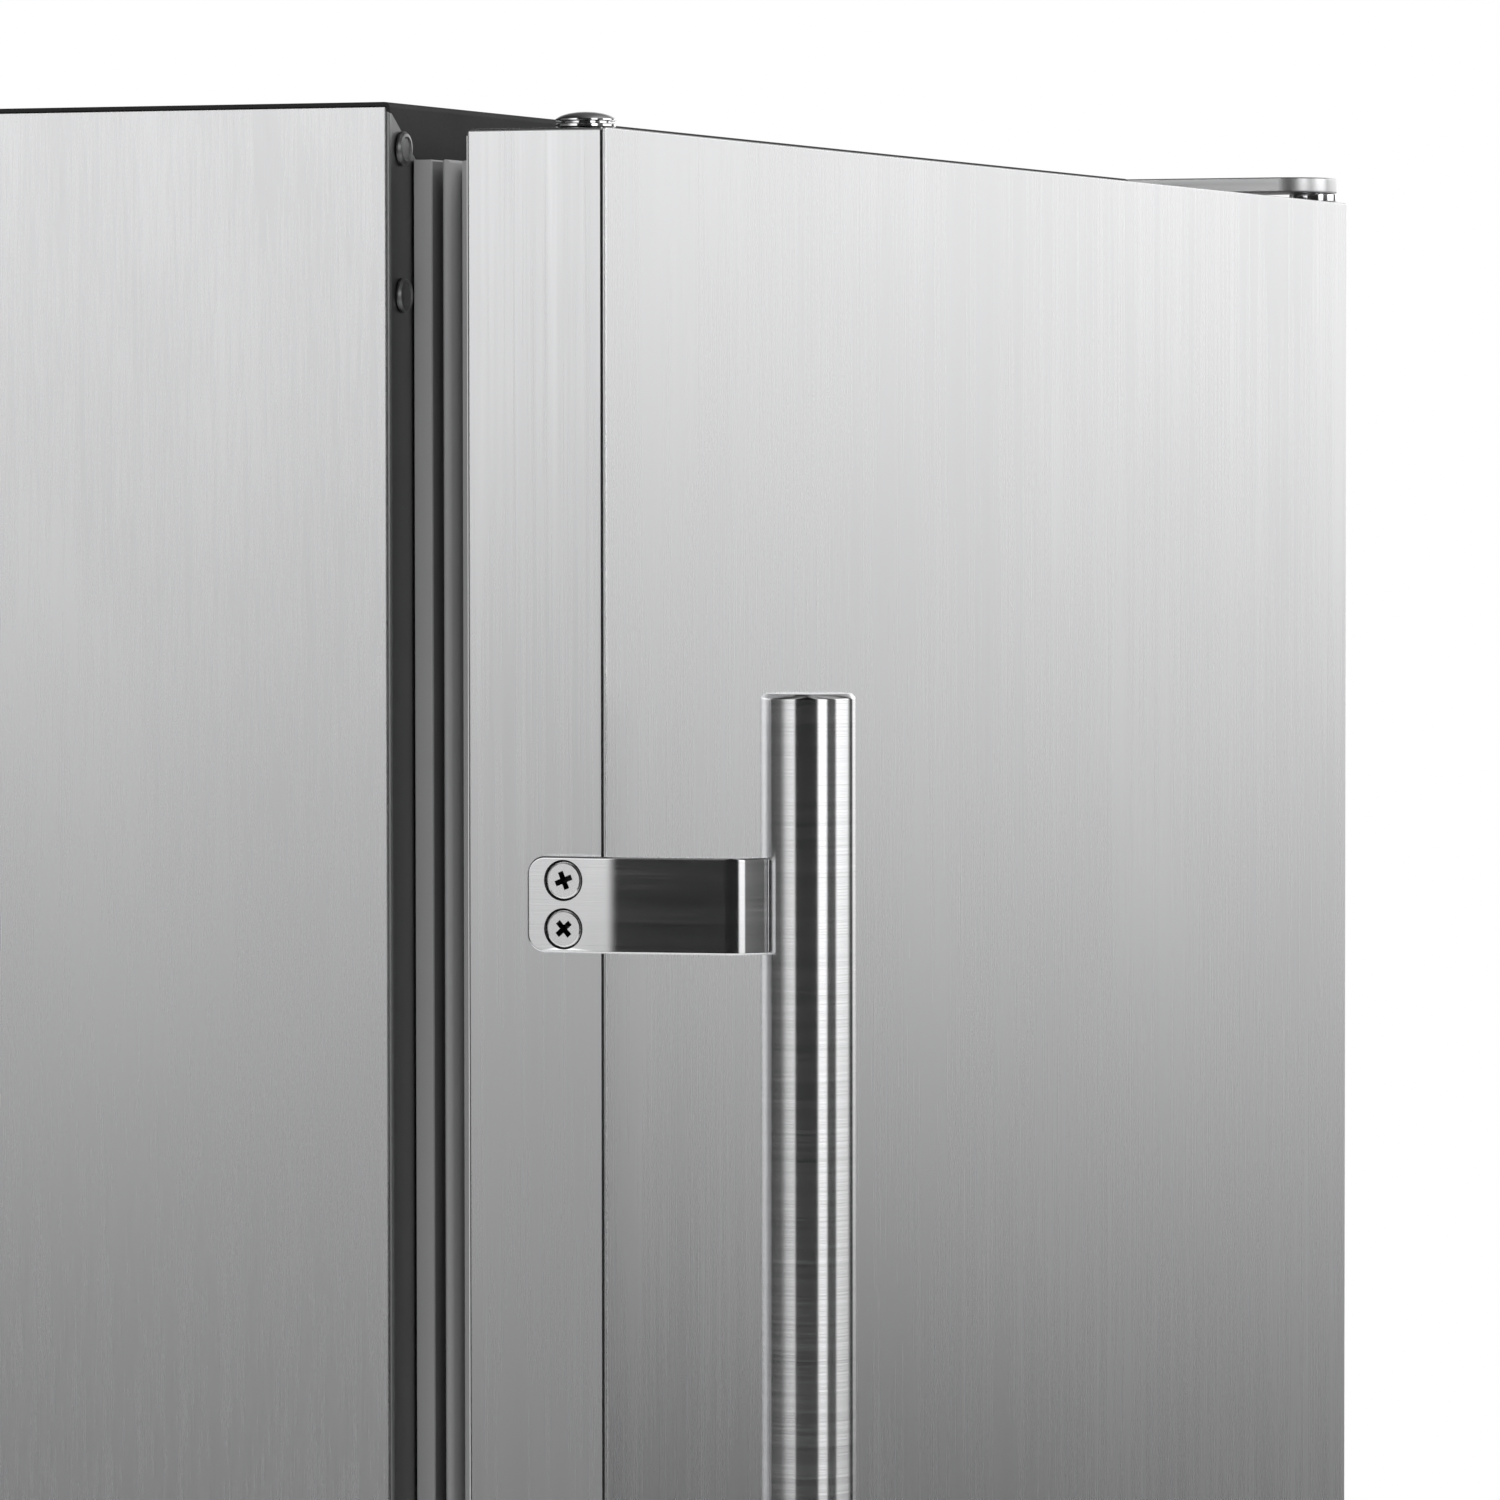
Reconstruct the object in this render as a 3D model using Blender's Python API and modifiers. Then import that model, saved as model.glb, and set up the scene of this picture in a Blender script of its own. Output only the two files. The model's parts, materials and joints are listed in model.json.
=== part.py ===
"""Undercounter refrigerator with one right-hinged door, built as separate parts.

X runs to the right, Y to the rear and Z up. The part stands on z = 0 with its outline centred on X and Y.
"""

import math

import bmesh
import bpy
from mathutils import Matrix, Vector

# Driving dimensions, in metres.
WIDTH = 0.595
HEIGHT = 0.850
CABINET_DEPTH = 0.547
DOOR_THICKNESS = 0.034
SEAL_SPACE = 0.019
GAP = 0.0003
SHEET = 0.001
WALL = 0.045

HANDLE_RADIUS = 0.0108
HANDLE_REACH = 0.0431
HANDLE_INSET = 0.015
HANDLE_END = 0.128
BRACKET_DROP = 0.176
BRACKET_HEIGHT = 0.022
BRACKET_SHEET = 0.003
SCREW_SETBACK = 0.0095
SCREW_PITCH = 0.011

HINGE_INSET = 0.008
HINGE_PLATE = 0.0043
HINGE_PLATE_WIDTH = 0.026
HINGE_PLATE_PROUD = 0.0005
HINGE_RECESS_WIDTH = 0.045
HINGE_RECESS_DEPTH = 0.060
DOOR_TOP_DROP = 0.0065

DOOR_BOTTOM = 0.105
DECK = 0.100
BASE = 0.032
FLANGE = 0.030
GASKET_INSET = 0.013
GASKET_TOP_INSET = 0.0063
GASKET_WIDTH = 0.015

BAY_DEPTH = 0.202
BAY_TOP = 0.245
LINER_SHEET = 0.0015
DISH_DEPTH = 0.010
FOOT_INSET = 0.045
ROCKER_TILT = 7
REAR_LIP = 0.012
RAIL_HEIGHT = 0.0142
PAN_SHEET = 0.0012
DOOR_SHEET = 0.0012
WASHER_SPACE = 0.003
PIN_RADIUS = 0.0035
PAST = 0.01  # how far a cutter reaches past what it cuts
MERGE = 0.00001

# Planes that follow from them.
X_LEFT = BRACKET_SHEET - (WIDTH + BRACKET_SHEET) / 2
X_RIGHT = X_LEFT + WIDTH
X_MID = (X_LEFT + X_RIGHT) / 2
FRONT_REACH = HANDLE_REACH + HANDLE_RADIUS
TOTAL_DEPTH = FRONT_REACH + DOOR_THICKNESS + SEAL_SPACE + CABINET_DEPTH
Y_DOOR = FRONT_REACH - TOTAL_DEPTH / 2
Y_DOOR_BACK = Y_DOOR + DOOR_THICKNESS
Y_FRONT = Y_DOOR_BACK + SEAL_SPACE
Y_REAR = Y_FRONT + CABINET_DEPTH
DOOR_TOP = HEIGHT - DOOR_TOP_DROP
HINGE_X = X_RIGHT - HINGE_INSET
HINGE_Y = Y_DOOR + HINGE_INSET
CAVITY_LEFT = X_LEFT + WALL
CAVITY_RIGHT = X_RIGHT - WALL
CAVITY_FLOOR = DOOR_BOTTOM + WALL
CAVITY_TOP = HEIGHT - WALL
CAVITY_REAR = Y_REAR - WALL
HUMP_FRONT = Y_REAR - BAY_DEPTH - WALL
HUMP_TOP = BAY_TOP + WALL
PAN_BOTTOM = BASE + RAIL_HEIGHT + GAP
PAN_FLOOR = PAN_BOTTOM + PAN_SHEET + GAP
SILL_TOP = DOOR_BOTTOM + GASKET_INSET + GASKET_WIDTH + 0.002
SHELF_LEVELS = {"shelf_lower": 0.320, "shelf_middle": 0.460, "shelf_upper": 0.600}
SHELF_THICKNESS = 0.006

TURNS = {
    "+Z": (0, 0, 0),
    "-Z": (math.pi, 0, 0),
    "+Y": (-math.pi / 2, 0, 0),
    "-Y": (math.pi / 2, 0, 0),
    "-X": (0, -math.pi / 2, 0),
}


def clear_scene():
    for obj in list(bpy.data.objects):
        bpy.data.objects.remove(obj)


def collection(name, hidden=False):
    made = bpy.data.collections.new(name)
    made.hide_render = hidden
    bpy.context.scene.collection.children.link(made)
    return made


def material(name, colour, roughness, metallic=0.0):
    made = bpy.data.materials.new(name)
    made.use_nodes = True
    shader = made.node_tree.nodes["Principled BSDF"]
    shader.inputs["Base Color"].default_value = (*colour, 1)
    shader.inputs["Roughness"].default_value = roughness
    shader.inputs["Metallic"].default_value = metallic
    made.diffuse_color = (*colour, 1)
    return made


# --- building blocks ---------------------------------------------------------------------------


def add(name, mesh, look, at=(0, 0, 0)):
    """Puts a mesh in the part's collection. A look of None makes it a cutter."""
    obj = bpy.data.objects.new(name, mesh)
    obj.location = at
    if look is None:
        CUTTERS.objects.link(obj)
        obj.hide_render = True
        obj.display_type = "WIRE"
    else:
        PARTS.objects.link(obj)
        mesh.materials.append(LOOKS[look])
    return obj


def bevel(obj, width, segments=1, angle=40):
    made = obj.modifiers.new("Bevel", "BEVEL")
    made.width = width
    made.segments = segments
    made.limit_method = "ANGLE"
    made.angle_limit = math.radians(angle)
    return obj


def solidify(obj, thickness, offset=-1.0):
    made = obj.modifiers.new("Sheet", "SOLIDIFY")
    made.thickness = thickness
    made.offset = offset
    made.use_even_offset = True
    made.use_quality_normals = True
    return obj


def boolean(obj, other, operation):
    made = obj.modifiers.new(operation.title(), "BOOLEAN")
    made.operation = operation
    made.object = other
    return obj


def cut(obj, *cutters):
    for cutter in cutters:
        boolean(obj, cutter, "DIFFERENCE")
    return obj


def add_box(bm, low, high):
    """One box from corner to corner, in the mesh under construction."""
    verts = bmesh.ops.create_cube(bm, size=1.0)["verts"]
    size = Vector(high) - Vector(low)
    middle = (Vector(high) + Vector(low)) / 2
    bmesh.ops.scale(bm, vec=size, verts=verts)
    bmesh.ops.translate(bm, vec=middle, verts=verts)


def boxes(name, corners, look):
    """Boxes that stay apart, such as the slots of a grille."""
    bm = bmesh.new()
    for low, high in corners:
        add_box(bm, low, high)
    mesh = bpy.data.meshes.new(name)
    bm.to_mesh(mesh)
    bm.free()
    return add(name, mesh, look)


def box(name, low, high, look, edge=0.0, segments=1):
    obj = boxes(name, [(low, high)], look)
    return bevel(obj, edge, segments) if edge else obj


def prism(name, outline, axis, low, high, look):
    """A closed outline carried along an axis. Its pairs are the other two coordinates, in X, Y, Z order."""
    bm = bmesh.new()
    place = {
        "X": lambda a, b: (low, a, b),
        "Y": lambda a, b: (a, low, b),
        "Z": lambda a, b: (a, b, low),
    }[axis]
    face = bm.faces.new([bm.verts.new(place(a, b)) for a, b in outline])
    grown = bmesh.ops.extrude_face_region(bm, geom=[face])["geom"]
    step = Vector([high - low if axis == letter else 0 for letter in "XYZ"])
    bmesh.ops.translate(bm, vec=step, verts=[v for v in grown if isinstance(v, bmesh.types.BMVert)])
    bmesh.ops.recalc_face_normals(bm, faces=bm.faces)
    mesh = bpy.data.meshes.new(name)
    bm.to_mesh(mesh)
    bm.free()
    return add(name, mesh, look)


def open_prism(name, outline, axis, low, high, look, opening):
    """A prism whose faces that the test picks are left out: the surface that a sheet shell starts from."""
    obj = prism(name, outline, axis, low, high, look)
    bm = bmesh.new()
    bm.from_mesh(obj.data)
    away = [face for face in bm.faces if opening(face.calc_center_median())]
    bmesh.ops.delete(bm, geom=away, context="FACES")
    bm.to_mesh(obj.data)
    bm.free()
    return obj


def rectangle(low, high):
    return [(low[0], low[1]), (high[0], low[1]), (high[0], high[1]), (low[0], high[1])]


def arc(centre, radius, start, end, steps):
    """Points of an arc, angles in degrees counted from the first coordinate towards the second."""
    angles = [math.radians(start + (end - start) * i / steps) for i in range(steps + 1)]
    return [(centre[0] + radius * math.cos(a), centre[1] + radius * math.sin(a)) for a in angles]


def turned(name, profile, at, look, axis="+Z", steps=24, ring=False):
    """A turned solid. Its (radius, height) pairs run down the outer side. A ring's profile closes."""
    mesh = bpy.data.meshes.new(name)
    edges = [(i, i + 1) for i in range(len(profile) - 1)]
    if ring:
        edges.append((len(profile) - 1, 0))
    mesh.from_pydata([(radius, 0, height) for radius, height in profile], edges, [])
    obj = add(name, mesh, look, at)
    obj.rotation_euler = TURNS[axis]
    screw = obj.modifiers.new("Turn", "SCREW")
    screw.steps = screw.render_steps = steps
    screw.use_merge_vertices = True
    screw.merge_threshold = MERGE
    screw.use_smooth_shade = True
    return obj


def disc(name, radius, low, high, at, look, axis="+Z", steps=24):
    return turned(name, [(0, high), (radius, high), (radius, low), (0, low)], at, look, axis, steps)


def tube(name, points, radius, look):
    curve = bpy.data.curves.new(name, "CURVE")
    curve.dimensions = "3D"
    curve.bevel_depth = radius
    curve.bevel_resolution = 2
    curve.use_fill_caps = True
    spline = curve.splines.new("POLY")
    spline.points.add(len(points) - 1)
    for point, place in zip(spline.points, points):
        point.co = (*place, 1)
    curve.materials.append(LOOKS[look])
    obj = bpy.data.objects.new(name, curve)
    PARTS.objects.link(obj)
    return obj


def hang(parent, *children):
    for child in children:
        child.parent = parent
        child.matrix_parent_inverse = Matrix.Translation(-parent.location)


def pivot(name, at):
    empty = bpy.data.objects.new(name, None)
    empty.location = at
    empty.empty_display_size = 0.05
    PARTS.objects.link(empty)
    return empty


# --- cabinet shell -----------------------------------------------------------------------------


def side_panel(name, outer, inward):
    """A side sheet that bends to a front flange, whose upper end is mitred, and to a rear lip."""
    top = HEIGHT - 2 * SHEET - GAP
    path = [
        (outer + inward * FLANGE, Y_FRONT),
        (outer, Y_FRONT),
        (outer, Y_REAR),
        (outer + inward * REAR_LIP, Y_REAR),
    ]
    bm = bmesh.new()
    lower = [bm.verts.new((x, y, BASE)) for x, y in path]
    drops = [FLANGE, 0, 0, 0]
    upper = [bm.verts.new((x, y, top - drop)) for (x, y), drop in zip(path, drops)]
    for i in range(len(path) - 1):
        bm.faces.new((lower[i], lower[i + 1], upper[i + 1], upper[i]))
    mesh = bpy.data.meshes.new(name)
    bm.to_mesh(mesh)
    bm.free()
    obj = add(name, mesh, "brushed_stainless")
    solidify(obj, SHEET, offset=inward)
    return obj


def top_panel():
    """The top sheet with a mitred front flange. Its right front corner is cut for the sunk hinge plate."""
    bm = bmesh.new()
    rear = [bm.verts.new((x, Y_REAR, HEIGHT)) for x in (X_LEFT, X_RIGHT)]
    edge = [bm.verts.new((x, Y_FRONT, HEIGHT)) for x in (X_LEFT, X_RIGHT)]
    inset = FLANGE + 2 * SHEET
    low = [bm.verts.new((x, Y_FRONT, HEIGHT - FLANGE)) for x in (X_LEFT + inset, X_RIGHT - inset)]
    bm.faces.new((edge[0], edge[1], rear[1], rear[0]))
    bm.faces.new((low[0], low[1], edge[1], edge[0]))
    mesh = bpy.data.meshes.new("top_panel")
    bm.to_mesh(mesh)
    bm.free()
    obj = solidify(add("top_panel", mesh, "black_paint"), SHEET)
    return cut(obj, hinge_recess("top_panel_recess"))


def hinge_recess(name):
    """The space that the sunk hinge plate takes from the sheets at the right front corner."""
    low_corner = (X_RIGHT - HINGE_RECESS_WIDTH, Y_FRONT - SHEET, hinge_plate_bottom() - SHEET)
    high_corner = (X_RIGHT + SHEET, Y_FRONT + HINGE_RECESS_DEPTH, HEIGHT + SHEET)
    return box(name, low_corner, high_corner, None)


def hinge_plate_bottom():
    return HEIGHT + HINGE_PLATE_PROUD - HINGE_PLATE


def hinge_seat():
    """The stiffener under the sunk hinge plate, which closes the cut in the top panel."""
    top = hinge_plate_bottom() - GAP
    return box(
        "hinge_seat",
        (X_RIGHT - HINGE_RECESS_WIDTH + GAP, Y_FRONT + 0.003, top - 0.003),
        (X_RIGHT - 0.004, Y_FRONT + HINGE_RECESS_DEPTH - GAP, top),
        "black_paint",
    )


def bottom_panel():
    """The floor sheet under the insulation, with a flange turned up behind the gasket."""
    low_x = X_LEFT + SHEET + GAP
    high_x = X_RIGHT - SHEET - GAP
    flange_top = DOOR_BOTTOM + GASKET_INSET + GASKET_WIDTH + 0.0015
    front = Y_FRONT + SHEET + GAP
    outline = [
        (front, DECK - SHEET),
        (Y_REAR - BAY_DEPTH - 0.002, DECK - SHEET),
        (Y_REAR - BAY_DEPTH - 0.002, DECK),
        (front + SHEET, DECK),
        (front + SHEET, flange_top),
        (front, flange_top),
    ]
    return prism("bottom_panel", outline, "X", low_x, high_x, "zinc_steel")


def lower_front_rail():
    """The steel face between the side flanges below the opening, where the gasket's lower run seals."""
    inset = FLANGE + GAP
    low = (X_LEFT + inset, Y_FRONT, DECK - 0.006)
    return box("lower_front_rail", low, (X_RIGHT - inset, Y_FRONT + SHEET, SILL_TOP), "brushed_stainless")


def rear_panel():
    low = (X_LEFT + REAR_LIP + SHEET / 2, Y_REAR - SHEET, BAY_TOP + 0.004)
    return box("rear_panel", low, (X_RIGHT - REAR_LIP - SHEET / 2, Y_REAR, HEIGHT - SHEET - GAP), "zinc_steel")


def cavity_outline(clear):
    """Side view of the food space, (y, z), with the step over the compressor bay, grown outwards by clear."""
    front = Y_FRONT + 0.0018
    return [
        (front, CAVITY_FLOOR - clear),
        (HUMP_FRONT + clear, CAVITY_FLOOR - clear),
        (HUMP_FRONT + clear, HUMP_TOP - clear),
        (CAVITY_REAR + clear, HUMP_TOP - clear),
        (CAVITY_REAR + clear, CAVITY_TOP + clear),
        (front, CAVITY_TOP + clear),
    ]


def inner_liner():
    obj = open_prism(
        "inner_liner",
        cavity_outline(0),
        "X",
        CAVITY_LEFT,
        CAVITY_RIGHT,
        "liner_white",
        lambda centre: centre.y < Y_FRONT + 0.003,
    )
    return solidify(obj, LINER_SHEET, offset=1.0)


def insulation_foam():
    """Foam between the sheets and the liner, hollow for the food space and stepped for the compressor bay."""
    skin = SHEET + GAP
    low_y = Y_FRONT + 2 * SHEET + 2 * GAP
    high_z = hinge_plate_bottom() - 0.0036 - GAP
    bay_front = Y_REAR - BAY_DEPTH
    outline = [
        (low_y, DECK + GAP),
        (bay_front - GAP, DECK + GAP),
        (bay_front - GAP, BAY_TOP + GAP),
        (Y_REAR - skin, BAY_TOP + GAP),
        (Y_REAR - skin, high_z),
        (low_y, high_z),
    ]
    obj = prism("insulation_foam", outline, "X", X_LEFT + skin, X_RIGHT - skin, "foam")
    clear = LINER_SHEET + GAP
    hollow = cavity_outline(clear)
    hollow[0] = (Y_FRONT - PAST, hollow[0][1])
    hollow[-1] = (Y_FRONT - PAST, hollow[-1][1])
    cutter = prism("cavity_cut", hollow, "X", CAVITY_LEFT - clear, CAVITY_RIGHT + clear, None)
    return cut(obj, cutter)


def ring_plate(name, outer_low, outer_high, width, y_low, y_high, look):
    """A rectangular ring in the XZ plane."""
    obj = prism(name, rectangle(outer_low, outer_high), "Y", y_low, y_high, look)
    inner = (
        (outer_low[0] + width, y_low - PAST, outer_low[1] + width),
        (outer_high[0] - width, y_high + PAST, outer_high[1] - width),
    )
    return cut(obj, box(name + "_window", *inner, None))


def breaker_strip():
    """The plastic frame that joins the steel flanges to the liner without carrying heat."""
    clear = FLANGE + GAP
    outer_low = (X_LEFT + clear, SILL_TOP + GAP)
    outer_high = (X_RIGHT - clear, HEIGHT - clear)
    outline = rectangle(outer_low, outer_high)
    obj = prism("breaker_strip", outline, "Y", Y_FRONT, Y_FRONT + LINER_SHEET, "liner_white")
    window = box(
        "breaker_window",
        (CAVITY_LEFT, Y_FRONT - PAST, CAVITY_FLOOR),
        (CAVITY_RIGHT, Y_FRONT + PAST, CAVITY_TOP),
        None,
    )
    return cut(obj, window)


def slotted(obj, slots):
    return cut(obj, boxes(obj.name + "_slots", slots, None))


def toe_kick_grille():
    """The louvred plinth under the door, set back for toes."""
    low = (X_LEFT + 0.0335, Y_FRONT + 0.040, BASE + 0.016)
    high = (X_RIGHT - 0.0335, Y_FRONT + 0.0412, DECK - SHEET - GAP)
    obj = box("toe_kick_grille", low, high, "brushed_stainless")
    count = 5
    pitch = 0.0085
    first = low[2] + 0.009
    slots = []
    for side in (-1, 1):
        middle = X_MID + side * 0.125
        for i in range(count):
            z = first + i * pitch
            slots.append(((middle - 0.105, low[1] - PAST, z), (middle + 0.105, high[1] + PAST, z + 0.004)))
    return slotted(obj, slots)


def rear_access_grille():
    """The removable cover over the compressor bay, slotted for air."""
    low = (X_LEFT + REAR_LIP + SHEET / 2, Y_REAR - SHEET, BASE + 0.016)
    high = (X_RIGHT - REAR_LIP - SHEET / 2, Y_REAR, BAY_TOP + 0.004 - GAP)
    obj = box("rear_access_grille", low, high, "zinc_steel")
    slots = []
    for column in range(6):
        x = X_MID + 0.015 + column * 0.034
        slots.append(((x, low[1] - PAST, low[2] + 0.025), (x + 0.012, high[1] + PAST, high[2] - 0.030)))
    hole = disc("inlet_hole", 0.0125, -0.01, 0.01, inlet_centre(), None, "+Y")
    return cut(slotted(obj, slots), hole)


def inlet_centre():
    return (X_MID - 0.215, Y_REAR, 0.110)


def power_inlet():
    """The bushed cable entry in the rear cover."""
    profile = [
        (0.006, -0.001),
        (0.0115, -0.001),
        (0.0115, -0.012),
        (0.006, -0.012),
    ]
    return turned("power_inlet", profile, inlet_centre(), "black_plastic", "+Y", ring=True)


# --- base --------------------------------------------------------------------------------------


def base_pan():
    skin = SHEET + GAP
    low = (X_LEFT + skin, Y_FRONT + 0.0425, PAN_BOTTOM)
    return box("base_pan", low, (X_RIGHT - skin, Y_REAR - skin, PAN_BOTTOM + PAN_SHEET), "zinc_steel")


def base_rail(name, side):
    """A channel, open at the top, that carries two levelling feet in its web."""
    skin = SHEET + GAP
    width = 0.060
    outer = X_LEFT + skin if side < 0 else X_RIGHT - skin - width
    outline = [
        (outer, BASE),
        (outer + width, BASE),
        (outer + width, BASE + RAIL_HEIGHT),
        (outer + width - 0.002, BASE + RAIL_HEIGHT),
        (outer + width - 0.002, BASE + 0.002),
        (outer + 0.002, BASE + 0.002),
        (outer + 0.002, BASE + RAIL_HEIGHT),
        (outer, BASE + RAIL_HEIGHT),
    ]
    obj = prism(name, outline, "Y", Y_FRONT + 0.0025, Y_REAR - 0.0025, "zinc_steel")
    for x, y in foot_places().values():
        if (x - X_MID) * side > 0:
            hole = disc(f"{name}_hole_{y:.2f}", 0.0055, BASE - PAST, BASE + PAST, (x, y, 0), None, steps=16)
            cut(obj, hole)
    return obj


def foot_places():
    places = {}
    for depth, y in (("front", Y_FRONT + FOOT_INSET), ("rear", Y_REAR - FOOT_INSET)):
        places[f"foot_{depth}_left"] = (X_LEFT + 0.031, y)
        places[f"foot_{depth}_right"] = (X_RIGHT - 0.031, y)
    return places


def levelling_feet():
    profile = [
        (0, BASE + 0.0135),
        (0.005, BASE + 0.0135),
        (0.005, 0.0255),
        (0.009, 0.0255),
        (0.009, 0.0185),
        (0.011, 0.0165),
        (0.019, 0.009),
        (0.020, 0.007),
        (0.020, 0.0015),
        (0.0185, 0),
        (0, 0),
    ]
    return [turned(name, profile, (x, y, 0), "black_plastic") for name, (x, y) in foot_places().items()]


# --- refrigeration -----------------------------------------------------------------------------


def serpentine(left, right, low, high, passes, y):
    """A tube route of level passes joined by half turns at alternate ends."""
    pitch = (high - low) / (passes - 1)
    radius = pitch / 2
    points = []
    for i in range(passes):
        z = low + i * pitch
        ends = [(left, z), (right, z)] if i % 2 == 0 else [(right, z), (left, z)]
        points += ends
        if i < passes - 1:
            x = ends[1][0]
            end = 90 if i % 2 == 0 else -270
            points += arc((x, z + radius), radius, -90, end, 6)[1:-1]
    return [(x, y, z) for x, z in points]


def compressor():
    """A hermetic pot compressor standing on the base pan."""
    height = 0.165
    radius = 0.068
    dome = 0.050
    crown = arc((0, 0), 1.0, 90, 0, 5)
    profile = [(across * radius, height - dome + up * dome) for across, up in crown]
    profile[0] = (0, height)
    profile += [(radius, 0.085), (radius + 0.004, 0.085), (radius + 0.004, 0.077), (radius, 0.077)]
    profile += [(radius - 0.002, 0.030), (radius - 0.014, 0.010), (radius - 0.014, 0.0), (0, 0)]
    at = (X_MID - 0.125, Y_REAR - 0.105, PAN_FLOOR)
    return turned("compressor", profile, at, "black_paint", steps=32)


def fan_blade(name, at, radius, hub, depth, axis, look):
    """A hub with five pitched blades, one solid that turns about its axis."""
    bm = bmesh.new()
    count = 5
    for i in range(count):
        verts = bmesh.ops.create_cube(bm, size=1.0)["verts"]
        bmesh.ops.scale(bm, vec=(radius - hub * 0.6, radius * 0.62, 0.0016), verts=verts)
        bmesh.ops.rotate(bm, cent=(0, 0, 0), matrix=Matrix.Rotation(math.radians(24), 3, "X"), verts=verts)
        bmesh.ops.translate(bm, vec=((radius + hub * 0.6) / 2, 0, 0), verts=verts)
        turn = Matrix.Rotation(math.tau * i / count, 3, "Z")
        bmesh.ops.rotate(bm, cent=(0, 0, 0), matrix=turn, verts=verts)
    mesh = bpy.data.meshes.new(name + "_blades")
    bm.to_mesh(mesh)
    bm.free()
    blades = add(name + "_blades", mesh, None, at)
    blades.rotation_euler = TURNS[axis]
    obj = disc(name, hub, -depth / 2, depth / 2, at, look, axis, steps=20)
    return boolean(obj, blades, "UNION")


def condenser_unit():
    centre = (X_MID + 0.110, Y_REAR - 0.075, 0.150)
    coil = serpentine(centre[0] - 0.075, centre[0] + 0.075, 0.075, 0.225, 7, Y_REAR - 0.030)
    tube("condenser_coil", coil, 0.004, "black_paint")
    low = (centre[0] - 0.095, Y_REAR - 0.052, 0.055)
    shroud = box("condenser_fan_shroud", low, (centre[0] + 0.095, Y_REAR - 0.049, 0.240), "zinc_steel")
    hole_at = (centre[0], Y_REAR - 0.050, centre[2])
    cut(shroud, disc("shroud_hole", 0.074, -2 * PAST, 2 * PAST, hole_at, None, "+Y", 32))
    blade = fan_blade("condenser_fan_blade", centre, 0.068, 0.016, 0.024, "+Y", "black_plastic")
    motor = disc("condenser_fan_motor", 0.030, 0.0, 0.045, (centre[0], centre[1] - 0.0145, centre[2]),
                 "zinc_steel", "-Y")
    post = box("motor_post", (centre[0] - 0.012, centre[1] - 0.050, PAN_FLOOR),
               (centre[0] + 0.012, centre[1] - 0.030, centre[2]), None)
    boolean(motor, post, "UNION")
    return blade


def condensate_tray():
    """The drip tray ahead of the compressor bay, where the heat of the air flow dries it."""
    rim = PAN_FLOOR + 0.025
    low = (X_MID - 0.16, Y_REAR - 0.325)
    high = (X_MID + 0.16, Y_REAR - 0.225)
    obj = open_prism("condensate_tray", rectangle(low, high), "Z", PAN_FLOOR, rim, "black_plastic",
                     lambda centre: centre.z > rim - SHEET)
    return solidify(obj, 0.0015)


def evaporator_unit():
    front = CAVITY_REAR - 0.065
    half = 0.200
    low_z = 0.632
    high_z = CAVITY_TOP - GAP
    cover = open_prism("evaporator_cover", rectangle((X_MID - half, low_z), (X_MID + half, high_z)), "Y",
                       front, CAVITY_REAR - GAP, "liner_white", lambda centre: centre.y > CAVITY_REAR - 0.001)
    solidify(cover, LINER_SHEET)
    centre = (X_MID, front + 0.012, (low_z + high_z) / 2)
    cut(cover, disc("evaporator_hole", 0.058, -0.009, 0.02, (X_MID, front, centre[2]), None, "+Y", 32))
    slots = []
    for side in (-1, 1):
        for i in range(6):
            z = low_z + 0.030 + i * 0.020
            x = X_MID + side * 0.130
            slots.append(((x - 0.045, front - PAST, z), (x + 0.045, front + PAST, z + 0.008)))
    slotted(cover, slots)
    blade = fan_blade("evaporator_fan_blade", centre, 0.052, 0.013, 0.014, "+Y", "liner_white")
    disc("evaporator_fan_motor", 0.022, 0, 0.022, (X_MID, centre[1] + 0.0085, centre[2]), "zinc_steel", "+Y")
    coil = serpentine(X_MID - 0.150, X_MID + 0.150, low_z + 0.020, high_z - 0.022, 7, CAVITY_REAR - 0.008)
    tube("evaporator_coil", coil, 0.004, "copper")
    return blade


# --- food space --------------------------------------------------------------------------------


def shelf_rail(name, side):
    """A side rack with a ledge under each shelf."""
    wall = CAVITY_LEFT + GAP if side < 0 else CAVITY_RIGHT - GAP
    ledge = 0.012
    depth = 0.004
    inward = -side
    outline = [(wall, HUMP_TOP + 0.012), (wall + inward * depth, HUMP_TOP + 0.012)]
    for level in sorted(SHELF_LEVELS.values()):
        outline += [
            (wall + inward * depth, level - 0.004 - GAP),
            (wall + inward * ledge, level - 0.003 - GAP),
            (wall + inward * ledge, level - GAP),
            (wall + inward * depth, level - GAP),
        ]
    outline += [(wall + inward * depth, 0.620), (wall, 0.620)]
    return prism(name, outline, "Y", Y_FRONT + 0.060, CAVITY_REAR - 0.030, "zinc_steel")


def shelves():
    """Three racks. The wires run front to back between a border."""
    clear = 0.0055
    for name, level in SHELF_LEVELS.items():
        low = (CAVITY_LEFT + clear, Y_FRONT + 0.045, level)
        high = (CAVITY_RIGHT - clear, CAVITY_REAR - 0.008, level + SHELF_THICKNESS)
        obj = box(name, low, high, "shelf_wire")
        border = 0.008
        count = 12
        pitch = (high[0] - low[0] - 2 * border) / count
        middle = (low[1] + high[1]) / 2
        slots = []
        for i in range(count):
            x = low[0] + border + (i + 0.12) * pitch
            for y0, y1 in ((low[1] + border, middle - 0.003), (middle + 0.003, high[1] - border)):
                slots.append(((x, y0, level - PAST), (x + pitch * 0.76, y1, level + 0.02)))
        slotted(obj, slots)


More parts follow.
